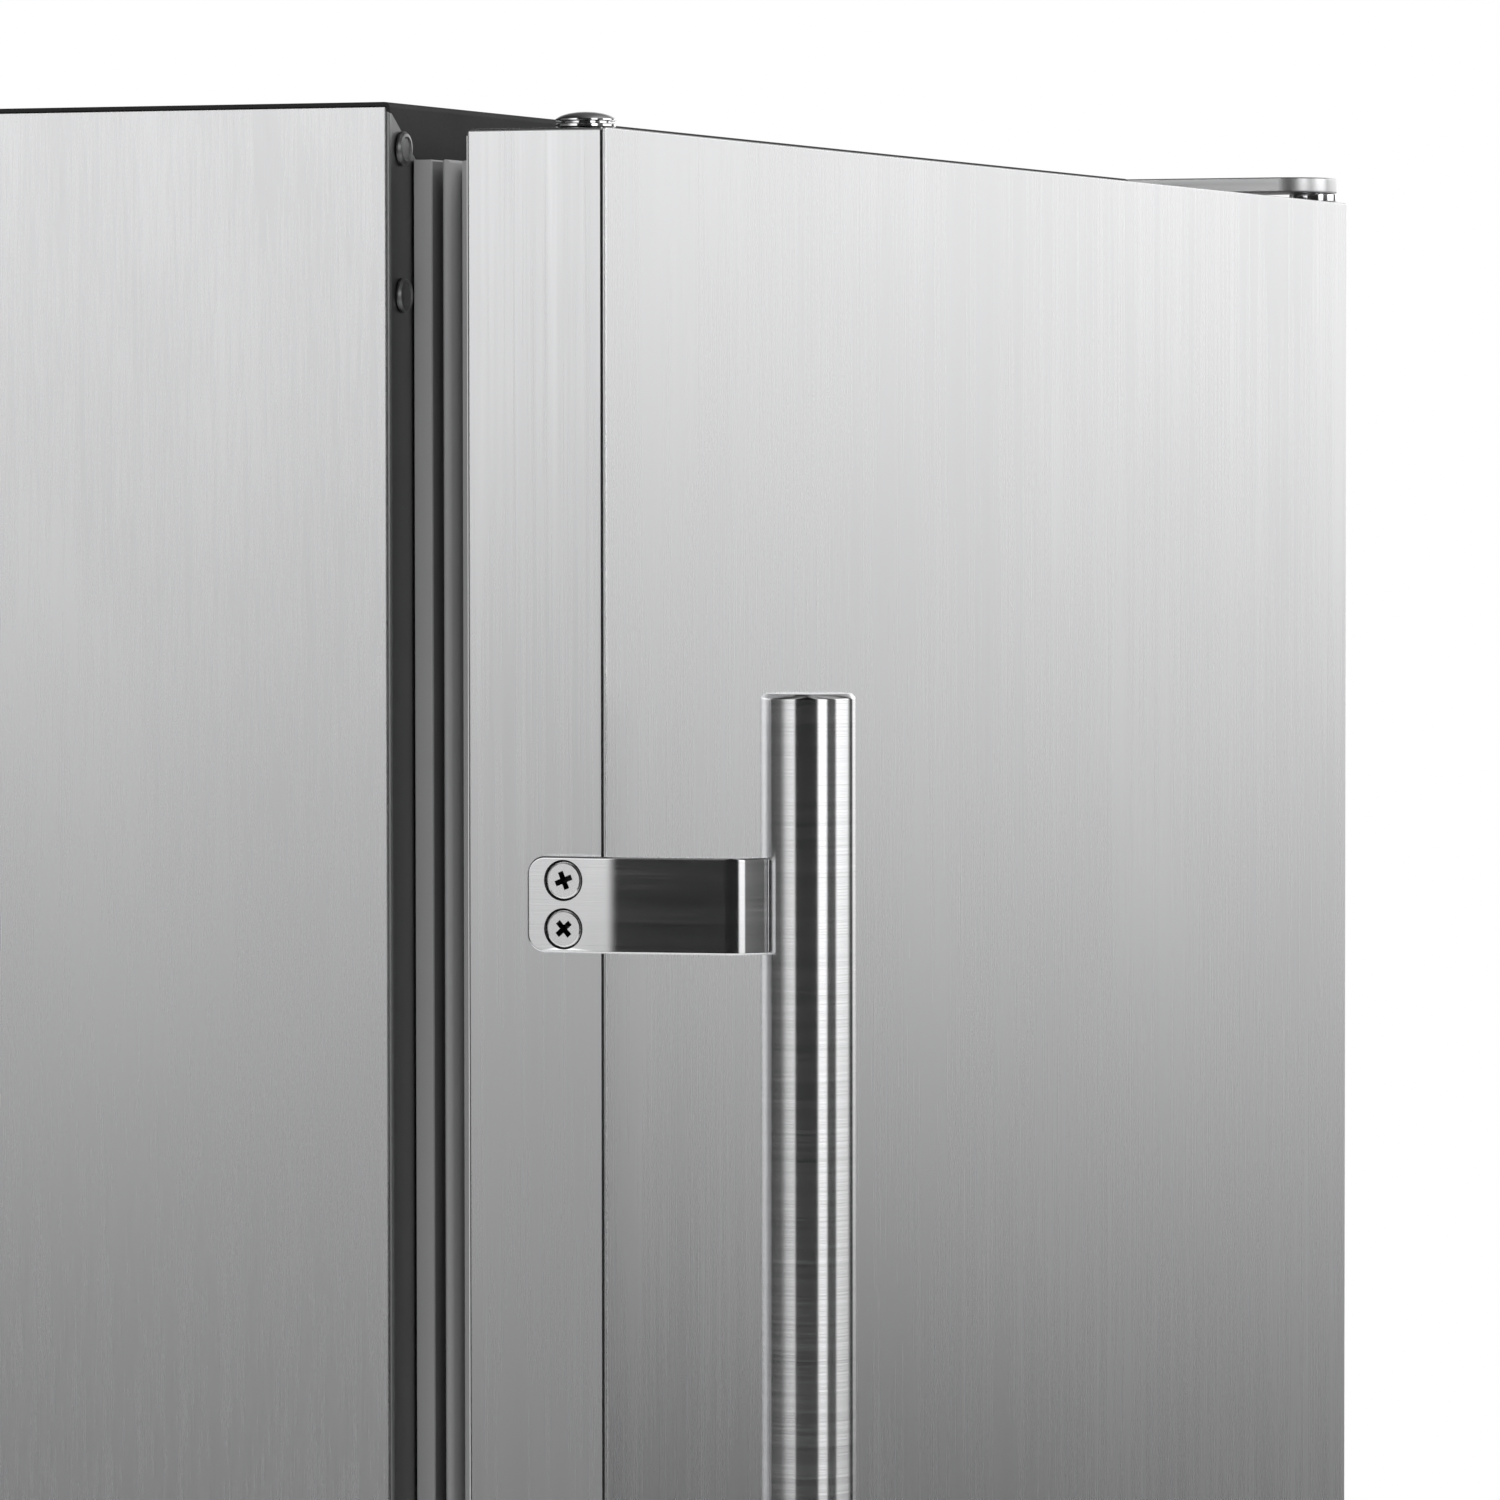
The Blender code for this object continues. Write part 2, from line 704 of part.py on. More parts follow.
def control_box():
    """The thermostat and lamp housing under the ceiling, just behind the door."""
    low = (X_MID - 0.110, Y_FRONT + 0.035, CAVITY_TOP - 0.040)
    high = (X_MID + 0.110, Y_FRONT + 0.115, CAVITY_TOP - GAP)
    box("control_housing", low, high, "liner_white", 0.003)
    dial_at = (X_MID + 0.070, low[1] - GAP, low[2] + 0.020)
    dial_profile = [(0, 0.012), (0.0125, 0.012), (0.014, 0.0105), (0.015, 0.001), (0.015, 0), (0, 0)]
    dial = turned("thermostat_dial", dial_profile, dial_at, "black_plastic", "-Y")
    pointer = box("dial_notch", (dial_at[0] - 0.001, dial_at[1] - 0.014, dial_at[2] + 0.006),
                  (dial_at[0] + 0.001, dial_at[1] - 0.0105, dial_at[2] + 0.018), None)
    cut(dial, pointer)
    rocker_at = Vector((X_MID - 0.070, low[1] - GAP, low[2] + 0.020))
    half_width = 0.006
    tip = 0.0095
    outline = [(-0.0014, -tip), (-0.0046, -tip), (-0.0034, 0), (-0.0046, tip), (-0.0014, tip), (-0.0004, 0)]
    rocker = prism("light_rocker", outline, "X", -half_width, half_width, "black_plastic")
    rocker.location = rocker_at
    rocker.rotation_euler = (math.radians(-ROCKER_TILT), 0, 0)
    lens_low = (X_MID - 0.045, low[1] + 0.015, low[2] - 0.009)
    box("light_lens", lens_low, (X_MID + 0.045, high[1] - 0.015, low[2] - GAP), "lens_clear", 0.002)


# --- hinges and small fittings -----------------------------------------------------------------


def hinge_outline(y_rear):
    """Plan of a hinge arm: a strip that ends in a half round in front of the pin."""
    radius = HINGE_INSET - 0.001
    right = X_RIGHT - 0.001
    left = right - HINGE_PLATE_WIDTH
    nose = Y_DOOR + 0.001
    outline = [(right, y_rear), (left, y_rear)]
    outline += arc((left + 0.012, nose + 0.012), 0.012, 180, 270, 5)
    outline += arc((right - radius, nose + radius), radius, 270, 360, 5)
    return outline


def hinge_bore(name):
    return disc(name, PIN_RADIUS + 0.0004, 0, HEIGHT + 0.05, (HINGE_X, HINGE_Y, 0), None, steps=20)


def top_hinge():
    bottom = hinge_plate_bottom()
    plate = prism("top_hinge_bracket", hinge_outline(Y_FRONT + HINGE_RECESS_DEPTH - 0.004), "Z", bottom,
                  HEIGHT + HINGE_PLATE_PROUD, "satin_steel")
    leg = box("top_hinge_leg", (X_RIGHT - 0.012, Y_FRONT - GAP - 0.003, HEIGHT - 0.056),
              (X_RIGHT - 0.001, Y_FRONT - GAP, bottom + 0.001), None)
    boolean(plate, leg, "UNION")
    cut(plate, hinge_bore("top_hinge_bore"))
    disc("top_hinge_pin", PIN_RADIUS, DOOR_TOP - 0.014, HEIGHT + HINGE_PLATE_PROUD + 0.0015,
         (HINGE_X, HINGE_Y, 0), "chrome", steps=20)


def bottom_hinge():
    top = DOOR_BOTTOM - WASHER_SPACE
    outline = hinge_outline(Y_FRONT - GAP)
    plate = prism("bottom_hinge_bracket", outline, "Z", top - HINGE_PLATE, top, "satin_steel")
    leg = box("bottom_hinge_leg", (X_RIGHT - 0.001 - HINGE_PLATE_WIDTH, Y_FRONT - GAP - 0.004, BASE + 0.014),
              (X_RIGHT - 0.001, Y_FRONT - GAP, top - 0.001), None)
    boolean(plate, leg, "UNION")
    cut(plate, hinge_bore("bottom_hinge_bore"))
    disc("bottom_hinge_pin", PIN_RADIUS, top - HINGE_PLATE - 0.002, DOOR_BOTTOM + 0.014,
         (HINGE_X, HINGE_Y, 0), "chrome", steps=20)


def flange_plugs():
    """Caps over the spare hinge screw holes in the left flange."""
    profile = [(0, 0.0011), (0.0034, 0.0011), (0.004, 0.0006), (0.004, 0), (0, 0)]
    for name, drop in (("flange_plug_upper", 0.0105), ("flange_plug_lower", 0.0440)):
        at = (X_LEFT + 0.007, Y_FRONT - GAP, HEIGHT - drop)
        turned(name, profile, at, "satin_steel", "-Y", 20)


# --- door --------------------------------------------------------------------------------------


def door_pin_bores():
    """Clearance for the hinge bushes in the top and the bottom, and for the cap on the spare top hole."""
    places = (
        ("top_bush_bore", HINGE_X, DOOR_TOP - 0.018, DOOR_TOP + PAST),
        ("bottom_bush_bore", HINGE_X, DOOR_BOTTOM - PAST, DOOR_BOTTOM + 0.018),
        ("spare_bore", X_LEFT + HINGE_INSET, DOOR_TOP - 0.018, DOOR_TOP + PAST),
    )
    return [disc(name, 0.0059, low, high, (x, HINGE_Y, 0), None, steps=20) for name, x, low, high in places]


def handle_screw_places():
    places = {}
    for level, z in bracket_levels().items():
        for name, side in (("upper", 0.5), ("lower", -0.5)):
            at = (X_LEFT - BRACKET_SHEET, Y_DOOR + SCREW_SETBACK, z + side * SCREW_PITCH)
            places[f"handle_screw_{level}_{name}"] = at
    return places


def bracket_levels():
    return {"top": DOOR_TOP - BRACKET_DROP, "bottom": DOOR_BOTTOM + BRACKET_DROP}


def door_shell(bores, screw_bores):
    front = Y_DOOR + SHEET + GAP
    frame = open_prism("door_frame", rectangle((X_LEFT, DOOR_BOTTOM), (X_RIGHT, DOOR_TOP)), "Y",
                       front, Y_DOOR_BACK, "brushed_stainless",
                       lambda centre: abs(centre.y - front) < 1e-6 or abs(centre.y - Y_DOOR_BACK) < 1e-6)
    solidify(frame, DOOR_SHEET)
    cut(frame, *bores, *screw_bores)
    panel = box("door_front_panel", (X_LEFT, Y_DOOR, DOOR_BOTTOM), (X_RIGHT, Y_DOOR + SHEET, DOOR_TOP),
                "brushed_stainless", 0.0003)
    skin = DOOR_SHEET + GAP
    foam = box("door_foam", (X_LEFT + skin, front + GAP, DOOR_BOTTOM + skin),
               (X_RIGHT - skin, Y_DOOR_BACK - 2 * LINER_SHEET, DOOR_TOP - skin), "foam")
    cut(foam, *bores, *screw_bores)
    return [frame, panel, foam]


def door_liner():
    """The moulded inner skin, dished towards the food space inside the gasket."""
    skin = DOOR_SHEET + GAP
    rim = GASKET_INSET + GASKET_WIDTH + 0.008
    slope = 0.006
    bm = bmesh.new()
    loops = []
    for inset, y in ((0, Y_DOOR_BACK), (rim, Y_DOOR_BACK), (rim + slope, Y_DOOR_BACK + DISH_DEPTH)):
        low = (X_LEFT + skin + inset, DOOR_BOTTOM + skin + inset)
        high = (X_RIGHT - skin - inset, DOOR_TOP - skin - inset)
        loops.append([bm.verts.new((x, y, z)) for x, z in rectangle(low, high)])
    for outer, inner in zip(loops, loops[1:]):
        for i in range(4):
            after = (i + 1) % 4
            bm.faces.new((outer[after], outer[i], inner[i], inner[after]))
    bm.faces.new(loops[-1][::-1])
    mesh = bpy.data.meshes.new("door_liner")
    bm.to_mesh(mesh)
    bm.free()
    return solidify(add("door_liner", mesh, "liner_white"), LINER_SHEET)


def door_gasket():
    low = (X_LEFT + GASKET_INSET, DOOR_BOTTOM + GASKET_INSET)
    high = (X_RIGHT - GASKET_INSET, DOOR_TOP - GASKET_TOP_INSET)
    front = Y_DOOR_BACK + GAP
    return ring_plate("door_gasket", low, high, GASKET_WIDTH, front, Y_FRONT - GAP, "gasket_rubber")


def hinge_bushes():
    """Flanged bushes that turn on the pins. Each flange is the washer between door and bracket."""
    top_gap = hinge_plate_bottom() - DOOR_TOP
    made = []
    for name, at_z, axis, flange in (
        ("hinge_bush_top", DOOR_TOP, "+Z", top_gap - 2 * GAP),
        ("hinge_bush_bottom", DOOR_BOTTOM, "-Z", WASHER_SPACE - 2 * GAP),
    ):
        profile = [
            (PIN_RADIUS + GAP, GAP + flange),
            (0.0070, GAP + flange),
            (0.0070, GAP),
            (0.0056, GAP),
            (0.0056, -0.015),
            (PIN_RADIUS + GAP, -0.015),
        ]
        made.append(turned(name, profile, (HINGE_X, HINGE_Y, at_z), "chrome", axis, 20, ring=True))
    return made


def hinge_hole_cap():
    """The domed plug and washer in the spare hinge hole, which a door hung on the other side uses."""
    profile = [(0, 0.0038), (0.0022, 0.0037), (0.0042, 0.0030), (0.0053, 0.0018), (0.0055, 0.0011)]
    profile += [(0.0069, 0.0011), (0.0069, GAP), (0.0054, GAP), (0.0050, -0.010), (0, -0.010)]
    return turned("hinge_hole_cap", profile, (X_LEFT + HINGE_INSET, HINGE_Y, DOOR_TOP), "chrome")


def rounded_path(points, radius, steps=4):
    """The points with each inner corner replaced by an arc of the radius."""
    made = [Vector(points[0])]
    for before, corner, after in zip(points, points[1:], points[2:]):
        corner = Vector(corner)
        to_before = (Vector(before) - corner).normalized()
        to_after = (Vector(after) - corner).normalized()
        half = to_before.angle(to_after) / 2
        reach = radius / math.tan(half)
        middle = corner + (to_before + to_after).normalized() * (radius / math.sin(half))
        start = corner + to_before * reach - middle
        end = corner + to_after * reach - middle
        sweep = start.angle_signed(end)
        for i in range(steps + 1):
            angle = sweep * i / steps
            made.append(middle + Matrix.Rotation(-angle, 2) @ start)
    made.append(Vector(points[-1]))
    return made


def handle_bracket(name, z):
    """A strap screwed to the door's edge. Its arm leans inwards and its end turns in to meet the bar."""
    bar = Vector((X_LEFT + HANDLE_INSET, Y_DOOR - HANDLE_REACH))
    outer = X_LEFT - BRACKET_SHEET / 2 - GAP / 2
    touch = bar + Vector((-1, 1)).normalized() * (HANDLE_RADIUS + GAP)
    elbow = touch + Vector((-1, 1)).normalized() * 0.0075
    path = [(outer, Y_DOOR + 0.0184), (outer, Y_DOOR - 0.001), tuple(elbow), tuple(touch)]
    points = rounded_path(path, 0.006)
    bm = bmesh.new()
    low = [bm.verts.new((p.x, p.y, z - BRACKET_HEIGHT / 2)) for p in points]
    high = [bm.verts.new((p.x, p.y, z + BRACKET_HEIGHT / 2)) for p in points]
    for i in range(len(points) - 1):
        bm.faces.new((low[i], low[i + 1], high[i + 1], high[i]))
    mesh = bpy.data.meshes.new(name)
    bm.to_mesh(mesh)
    bm.free()
    obj = solidify(add(name, mesh, "brushed_stainless"), BRACKET_SHEET - GAP, offset=0)
    rear = path[0][1]
    corner = 0.004
    low_z = z - BRACKET_HEIGHT / 2
    high_z = z + BRACKET_HEIGHT / 2
    outline = arc((rear - corner, low_z + corner), corner, -90, 0, 5)
    outline += arc((rear - corner, high_z - corner), corner, 0, 90, 5)
    outline += [(Y_DOOR - HANDLE_REACH, high_z + 0.001), (Y_DOOR - HANDLE_REACH, low_z - 0.001)]
    blank = prism(name + "_blank", outline, "X", X_LEFT - 0.010, X_LEFT + 0.030, None)
    return boolean(obj, blank, "INTERSECT")


def handle():
    bar_low = DOOR_BOTTOM + HANDLE_END
    bar_high = DOOR_TOP - HANDLE_END
    chamfer = 0.0012
    profile = [
        (0, bar_high),
        (HANDLE_RADIUS - chamfer, bar_high),
        (HANDLE_RADIUS, bar_high - chamfer),
        (HANDLE_RADIUS, bar_low + chamfer),
        (HANDLE_RADIUS - chamfer, bar_low),
        (0, bar_low),
    ]
    bar_at = (X_LEFT + HANDLE_INSET, Y_DOOR - HANDLE_REACH, 0)
    made = [turned("handle_bar", profile, bar_at, "brushed_stainless", steps=40)]
    head = 0.0046
    sink = BRACKET_SHEET * 0.8
    screw_profile = [(0, 0), (head, 0), (head, -0.0003), (0.0025, -sink), (0.0025, -0.012), (0, -0.012)]
    sink_profile = [(0, 0.002), (head + GAP, 0.002), (head + GAP, -0.0003), (0.0028, -sink - GAP),
                    (0.0028, -0.014), (0, -0.014)]
    screw_bores = {}
    for name, at in handle_screw_places().items():
        screw_at = (at[0] + GAP, at[1], at[2])
        made.append(turned(name, screw_profile, screw_at, "chrome", "-X", 20))
        screw_bores[name] = turned(name + "_bore", sink_profile, screw_at, None, "-X", 16)
    for level, z in bracket_levels().items():
        bracket = handle_bracket(f"handle_bracket_{level}", z)
        cut(bracket, *[bore for name, bore in screw_bores.items() if f"_{level}_" in name])
        made.append(bracket)
    return made, list(screw_bores.values())


def door():
    axis = pivot("door_pivot", (HINGE_X, HINGE_Y, DOOR_BOTTOM))
    handle_parts, screw_bores = handle()
    bores = door_pin_bores()
    shell = door_shell(bores, screw_bores)
    fittings = hinge_bushes()
    skins = [door_liner(), door_gasket(), hinge_hole_cap()]
    hang(axis, *handle_parts, *shell, *fittings, *skins, *bores, *screw_bores)


def cabinet():
    side_panel("side_panel_left", X_LEFT, 1)
    cut(side_panel("side_panel_right", X_RIGHT, -1), hinge_recess("side_panel_recess"))
    top_panel()
    hinge_seat()
    bottom_panel()
    lower_front_rail()
    rear_panel()
    inner_liner()
    insulation_foam()
    breaker_strip()
    toe_kick_grille()
    rear_access_grille()
    power_inlet()
    base_pan()
    base_rail("base_rail_left", -1)
    base_rail("base_rail_right", 1)
    levelling_feet()


def cooling():
    compressor()
    condenser_unit()
    condensate_tray()
    evaporator_unit()


def interior():
    shelf_rail("shelf_rail_left", -1)
    shelf_rail("shelf_rail_right", 1)
    shelves()
    control_box()


clear_scene()
PARTS = collection("undercounter_refrigerator")
CUTTERS = collection("cutters", hidden=True)
LOOKS = {
    "brushed_stainless": material("brushed_stainless", (0.62, 0.62, 0.61), 0.32, 1.0),
    "satin_steel": material("satin_steel", (0.70, 0.70, 0.69), 0.40, 1.0),
    "zinc_steel": material("zinc_steel", (0.48, 0.49, 0.50), 0.48, 1.0),
    "chrome": material("chrome", (0.80, 0.80, 0.80), 0.08, 1.0),
    "copper": material("copper", (0.72, 0.36, 0.22), 0.35, 1.0),
    "black_paint": material("black_paint", (0.015, 0.015, 0.016), 0.45),
    "black_plastic": material("black_plastic", (0.02, 0.02, 0.022), 0.5),
    "liner_white": material("liner_white", (0.80, 0.81, 0.80), 0.35),
    "lens_clear": material("lens_clear", (0.90, 0.92, 0.92), 0.12),
    "shelf_wire": material("shelf_wire", (0.72, 0.73, 0.73), 0.30, 1.0),
    "gasket_rubber": material("gasket_rubber", (0.16, 0.16, 0.16), 0.62),
    "foam": material("foam", (0.78, 0.70, 0.48), 0.9),
}
cabinet()
cooling()
interior()
top_hinge()
bottom_hinge()
flange_plugs()
door()
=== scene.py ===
"""Looks of the undercounter refrigerator: its surfaces, fine shapes, studio and camera."""

import json
import math

import bmesh
import bpy
from mathutils import Matrix, Vector


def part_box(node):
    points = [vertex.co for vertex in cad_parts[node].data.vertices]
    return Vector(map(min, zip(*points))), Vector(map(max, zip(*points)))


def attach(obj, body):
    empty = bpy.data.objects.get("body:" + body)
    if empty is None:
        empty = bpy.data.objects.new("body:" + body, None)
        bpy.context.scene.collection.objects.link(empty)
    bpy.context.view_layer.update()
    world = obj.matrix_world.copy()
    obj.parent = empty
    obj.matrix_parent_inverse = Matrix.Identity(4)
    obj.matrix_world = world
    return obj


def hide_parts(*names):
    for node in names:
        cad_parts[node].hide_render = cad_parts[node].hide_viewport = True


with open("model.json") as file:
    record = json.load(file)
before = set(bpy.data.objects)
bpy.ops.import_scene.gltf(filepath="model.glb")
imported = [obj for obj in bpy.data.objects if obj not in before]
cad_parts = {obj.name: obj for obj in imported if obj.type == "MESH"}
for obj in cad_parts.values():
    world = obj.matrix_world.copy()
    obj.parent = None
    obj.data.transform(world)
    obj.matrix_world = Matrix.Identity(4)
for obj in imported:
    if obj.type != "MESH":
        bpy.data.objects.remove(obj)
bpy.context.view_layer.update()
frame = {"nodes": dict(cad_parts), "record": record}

NODES = frame["nodes"]
RECORD = frame["record"]
BODY = {node: body for body, nodes in RECORD["behaviour"]["bodies"].items() for node in nodes}

# Cabinet sheets, in metres: thickness, radius of the bends, rear lip, and the mitre of the front corners.
SHEET = 0.001
BEND = 0.0014
REAR_LIP = 0.012
MITRE_SLOPE = 0.746
MITRE_RISE = 0.0012
MITRE_END = 0.0295
GAP = 0.0003
MERGE = 0.000002

# Food space, door and hinge.
LINER_SHEET = 0.0015
DOOR_SHEET = 0.0012
GASKET_WIDTH = 0.015
HINGE_RADIUS = 0.0035
BUSH_BORE = 0.0059

# Handle. Each screw's cross stands at its own angle, in degrees.
STRAP_SHEET = 0.0027
SCREW_HEAD = 0.0046
CROSS_TURN = {
    "handle_screw_top_upper": 68,
    "handle_screw_top_lower": 48,
    "handle_screw_bottom_upper": 15,
    "handle_screw_bottom_lower": 80,
}

TURNS = {
    "Z": Matrix(),
    "-Y": Matrix.Rotation(math.pi / 2, 4, "X"),
    "-X": Matrix.Rotation(-math.pi / 2, 4, "Y"),
}


# --- materials ---------------------------------------------------------------------------------


def node(tree, kind, settings=None, inputs=None):
    made = tree.nodes.new("ShaderNode" + kind)
    for key, value in (settings or {}).items():
        setattr(made, key, value)
    for key, value in (inputs or {}).items():
        if isinstance(value, bpy.types.NodeSocket):
            tree.links.new(value, made.inputs[key])
        else:
            made.inputs[key].default_value = value
    return made


def blank_look(name, colour, roughness, metallic=0.0, sockets=None):
    look = bpy.data.materials.new(name)
    look.use_nodes = True
    shader = look.node_tree.nodes["Principled BSDF"]
    shader.inputs["Base Color"].default_value = (*colour, 1)
    shader.inputs["Roughness"].default_value = roughness
    shader.inputs["Metallic"].default_value = metallic
    for key, value in (sockets or {}).items():
        shader.inputs[key].default_value = value
    look.diffuse_color = (*colour, 1)
    return look, look.node_tree, shader


def noise(tree, scale, detail=3.0, rough=0.55):
    """Noise whose cells are about 1/scale metres long on each axis of the piece."""
    place = node(tree, "TexCoord").outputs["Object"]
    mapping = node(tree, "Mapping", inputs={"Vector": place, "Scale": scale})
    settings = {"Vector": mapping.outputs["Vector"], "Scale": 1.0, "Detail": detail, "Roughness": rough}
    return node(tree, "TexNoise", inputs=settings).outputs["Fac"]


def ranged(tree, value, low, high, from_low=0.3, from_high=0.7):
    settings = {"Value": value, "From Min": from_low, "From Max": from_high, "To Min": low, "To Max": high}
    return node(tree, "MapRange", inputs=settings).outputs["Result"]


def tinted(tree, shader, value, dark, light):
    ramp = node(tree, "ValToRGB", inputs={"Fac": value})
    ramp.color_ramp.elements[0].color = (*dark, 1)
    ramp.color_ramp.elements[1].color = (*light, 1)
    tree.links.new(ramp.outputs["Color"], shader.inputs["Base Color"])


def bumped(tree, shader, value, distance, strength=0.5):
    made = node(tree, "Bump", inputs={"Height": value, "Distance": distance, "Strength": strength})
    tree.links.new(made.outputs["Normal"], shader.inputs["Normal"])


def added(tree, first, second, weight):
    """The first value plus the second times its weight."""
    made = node(tree, "Math", {"operation": "MULTIPLY_ADD"}, {0: second, 1: weight, 2: first})
    return made.outputs["Value"]


def brushed(name, tone, roughness, grain, spread, anisotropy, contrast=1.0):
    """Steel brushed along the axis with the small grain number. The glint spreads on an axis or across Z."""
    colour = tuple(tone * shade for shade in STEEL_TINT)
    look, tree, shader = blank_look(name, colour, roughness, 1.0, {"Anisotropic": anisotropy})
    fine = noise(tree, grain, 4.0, 0.6)
    coarse = noise(tree, tuple(g * COARSE_GRAIN for g in grain), 2.0)
    smudge = noise(tree, (9.0, 9.0, 5.0), 3.0)
    lines = added(tree, fine, coarse, 0.5)
    dark = tuple(c * (1 - 0.03 * contrast) for c in colour)
    light = tuple(min(1.0, c * (1 + 0.02 * contrast)) for c in colour)
    tinted(tree, shader, ranged(tree, lines, 0.0, 1.0, *LINE_RANGE), dark, light)
    line_gloss = ranged(tree, lines, roughness - 0.03, roughness + 0.03, *LINE_RANGE)
    gloss = added(tree, line_gloss, ranged(tree, smudge, -1.0, 1.0), 0.018)
    tree.links.new(gloss, shader.inputs["Roughness"])
    bumped(tree, shader, lines, 0.000006 * contrast, 0.6)
    if spread == "across":
        normal = node(tree, "NewGeometry").outputs["Normal"]
        cross = node(tree, "VectorMath", {"operation": "CROSS_PRODUCT"}, {0: normal, 1: (0.0, 0.0, 1.0)})
        direction = cross.outputs["Vector"]
    else:
        direction = node(tree, "CombineXYZ", inputs={spread: 1.0}).outputs["Vector"]
    tree.links.new(direction, shader.inputs["Tangent"])
    return look


def zinc(name):
    """Plated sheet with a faint spangle."""
    look, tree, shader = blank_look(name, (0.46, 0.47, 0.48), 0.42, 1.0)
    place = node(tree, "TexCoord").outputs["Object"]
    cells = node(tree, "TexVoronoi", inputs={"Vector": place, "Scale": 130.0}).outputs["Color"]
    grey = node(tree, "RGBToBW", inputs={"Color": cells}).outputs["Val"]
    tinted(tree, shader, grey, (0.45, 0.46, 0.47), (0.53, 0.54, 0.55))
    mottle = added(tree, grey, noise(tree, (60.0, 60.0, 60.0), 4.0), 1.0)
    tree.links.new(ranged(tree, mottle, 0.34, 0.52, 0.4, 1.4), shader.inputs["Roughness"])
    bumped(tree, shader, noise(tree, (900.0, 900.0, 900.0), 2.0), 0.00002, 0.4)
    return look


def plain_metal(name, colour, roughness, spread=0.04, tarnish=0.93):
    """Smooth metal with a cloudy tarnish and fine marks. The spread is how far its roughness varies."""
    look, tree, shader = blank_look(name, colour, roughness, 1.0)
    cloud = noise(tree, (70.0, 70.0, 70.0), 5.0)
    tinted(tree, shader, cloud, tuple(c * tarnish for c in colour), colour)
    marks = noise(tree, (4200.0, 4200.0, 1600.0), 3.0)
    gloss = ranged(tree, marks, max(0.02, roughness - spread), roughness + spread)
    tree.links.new(gloss, shader.inputs["Roughness"])
    bumped(tree, shader, marks, 0.000001, 0.4)
    return look


def moulded(name, colour, roughness, grain=1400.0, depth=0.00002, shift=0.06, sockets=None):
    """Moulded plastic, rubber or paint: a fine skin texture with slow changes of shade and gloss."""
    look, tree, shader = blank_look(name, colour, roughness, 0.0, sockets)
    cloud = noise(tree, (35.0, 35.0, 35.0), 4.0)
    skin = noise(tree, (grain, grain, grain), 2.0)
    dark = tuple(c * (1 - shift) for c in colour)
    light = tuple(min(1.0, c * (1 + shift)) for c in colour)
    tinted(tree, shader, cloud, dark, light)
    gloss = ranged(tree, added(tree, cloud, skin, 0.5), roughness - 0.05, roughness + 0.07, 0.5, 1.0)
    tree.links.new(gloss, shader.inputs["Roughness"])
    bumped(tree, shader, skin, depth, 0.5)
    return look


# Brushed steel: its slight tint, the coarse grain's share of the fine one, and the range of the two summed.
STEEL_TINT = (0.992, 0.995, 1.006)
COARSE_GRAIN = 0.16
LINE_RANGE = (0.45, 1.05)

# Tone, roughness, grain per metre on X, Y and Z, spread, anisotropy and contrast.
BRUSHED = {
    "panel_steel": (0.83, 0.27, (2300.0, 2300.0, 70.0), "across", 0.7, 1.9),
    "door_steel": (0.83, 0.27, (1000.0, 1000.0, 8.0), "across", 0.7, 0.55),
    # The flange steel is a dark copy of the panel steel: painted shade and dark reflection for the turned-in
    # flanges and their plugs in the gap behind the door.
    "flange_steel": (0.235, 0.34, (1900.0, 1900.0, 16.0), "across", 0.4),
    "bar_steel": (0.86, 0.17, (22.0, 22.0, 2600.0), "Z", 0.8, 3.0),
    "strap_steel": (0.80, 0.14, (30.0, 30.0, 3800.0), "Z", 0.6),
    "satin_steel": (0.80, 0.36, (900.0, 30.0, 900.0), "X", 0.4),
}

# Colour, roughness, spread and tarnish.
PLAIN_METALS = {
    "screw_steel": ((0.84, 0.84, 0.84), 0.24, 0.05),
    "chrome": ((0.82, 0.82, 0.83), 0.09, 0.03, 0.97),
    "wire_steel": ((0.74, 0.75, 0.75), 0.26, 0.06),
    "copper": ((0.78, 0.42, 0.28), 0.32, 0.10, 0.72),
    "fin_aluminium": ((0.72, 0.73, 0.74), 0.38),
    # Near-black metal for the inside of the screws' cross recesses: painted shade.
    "recess_dark": ((0.05, 0.05, 0.05), 0.55),
}

# Colour, roughness, grain per metre, depth of the grain, shift of shade, and other sockets.
MOULDED = {
    "top_paint": ((0.016, 0.016, 0.017), 0.62, 1100.0, 0.00003, 0.2, {"Specular IOR Level": 0.25}),
    "black_paint": ((0.018, 0.018, 0.020), 0.38, 700.0, 0.00003, 0.2),
    "black_plastic": ((0.024, 0.024, 0.026), 0.50, 1500.0, 0.00002, 0.15),
    "liner_white": ((0.80, 0.81, 0.80), 0.34, 500.0, 0.00002, 0.015),
    "lens_clear": ((0.90, 0.92, 0.92), 0.18, 600.0, 0.00001, 0.01, {"Transmission Weight": 0.6}),
    "gasket_rubber": ((0.30, 0.30, 0.305), 0.55, 1800.0, 0.00002, 0.05),
    # Darker rubber for the groove between the magnet strip and the bulge: painted shade.
    "groove_rubber": ((0.15, 0.15, 0.153), 0.6, 1800.0, 0.00002, 0.1),
    "foam": ((0.78, 0.68, 0.44), 0.9, 1100.0, 0.0003, 0.12),
    "mark_grey": ((0.10, 0.10, 0.11), 0.55),
    "mark_white": ((0.85, 0.85, 0.85), 0.5),
}


def make_looks():
    looks = {"zinc_steel": zinc("zinc_steel")}
    for make, table in ((brushed, BRUSHED), (plain_metal, PLAIN_METALS), (moulded, MOULDED)):
        for name, settings in table.items():
            looks[name] = make(name, *settings)
    return looks


# --- pieces ------------------------------------------------------------------------------------


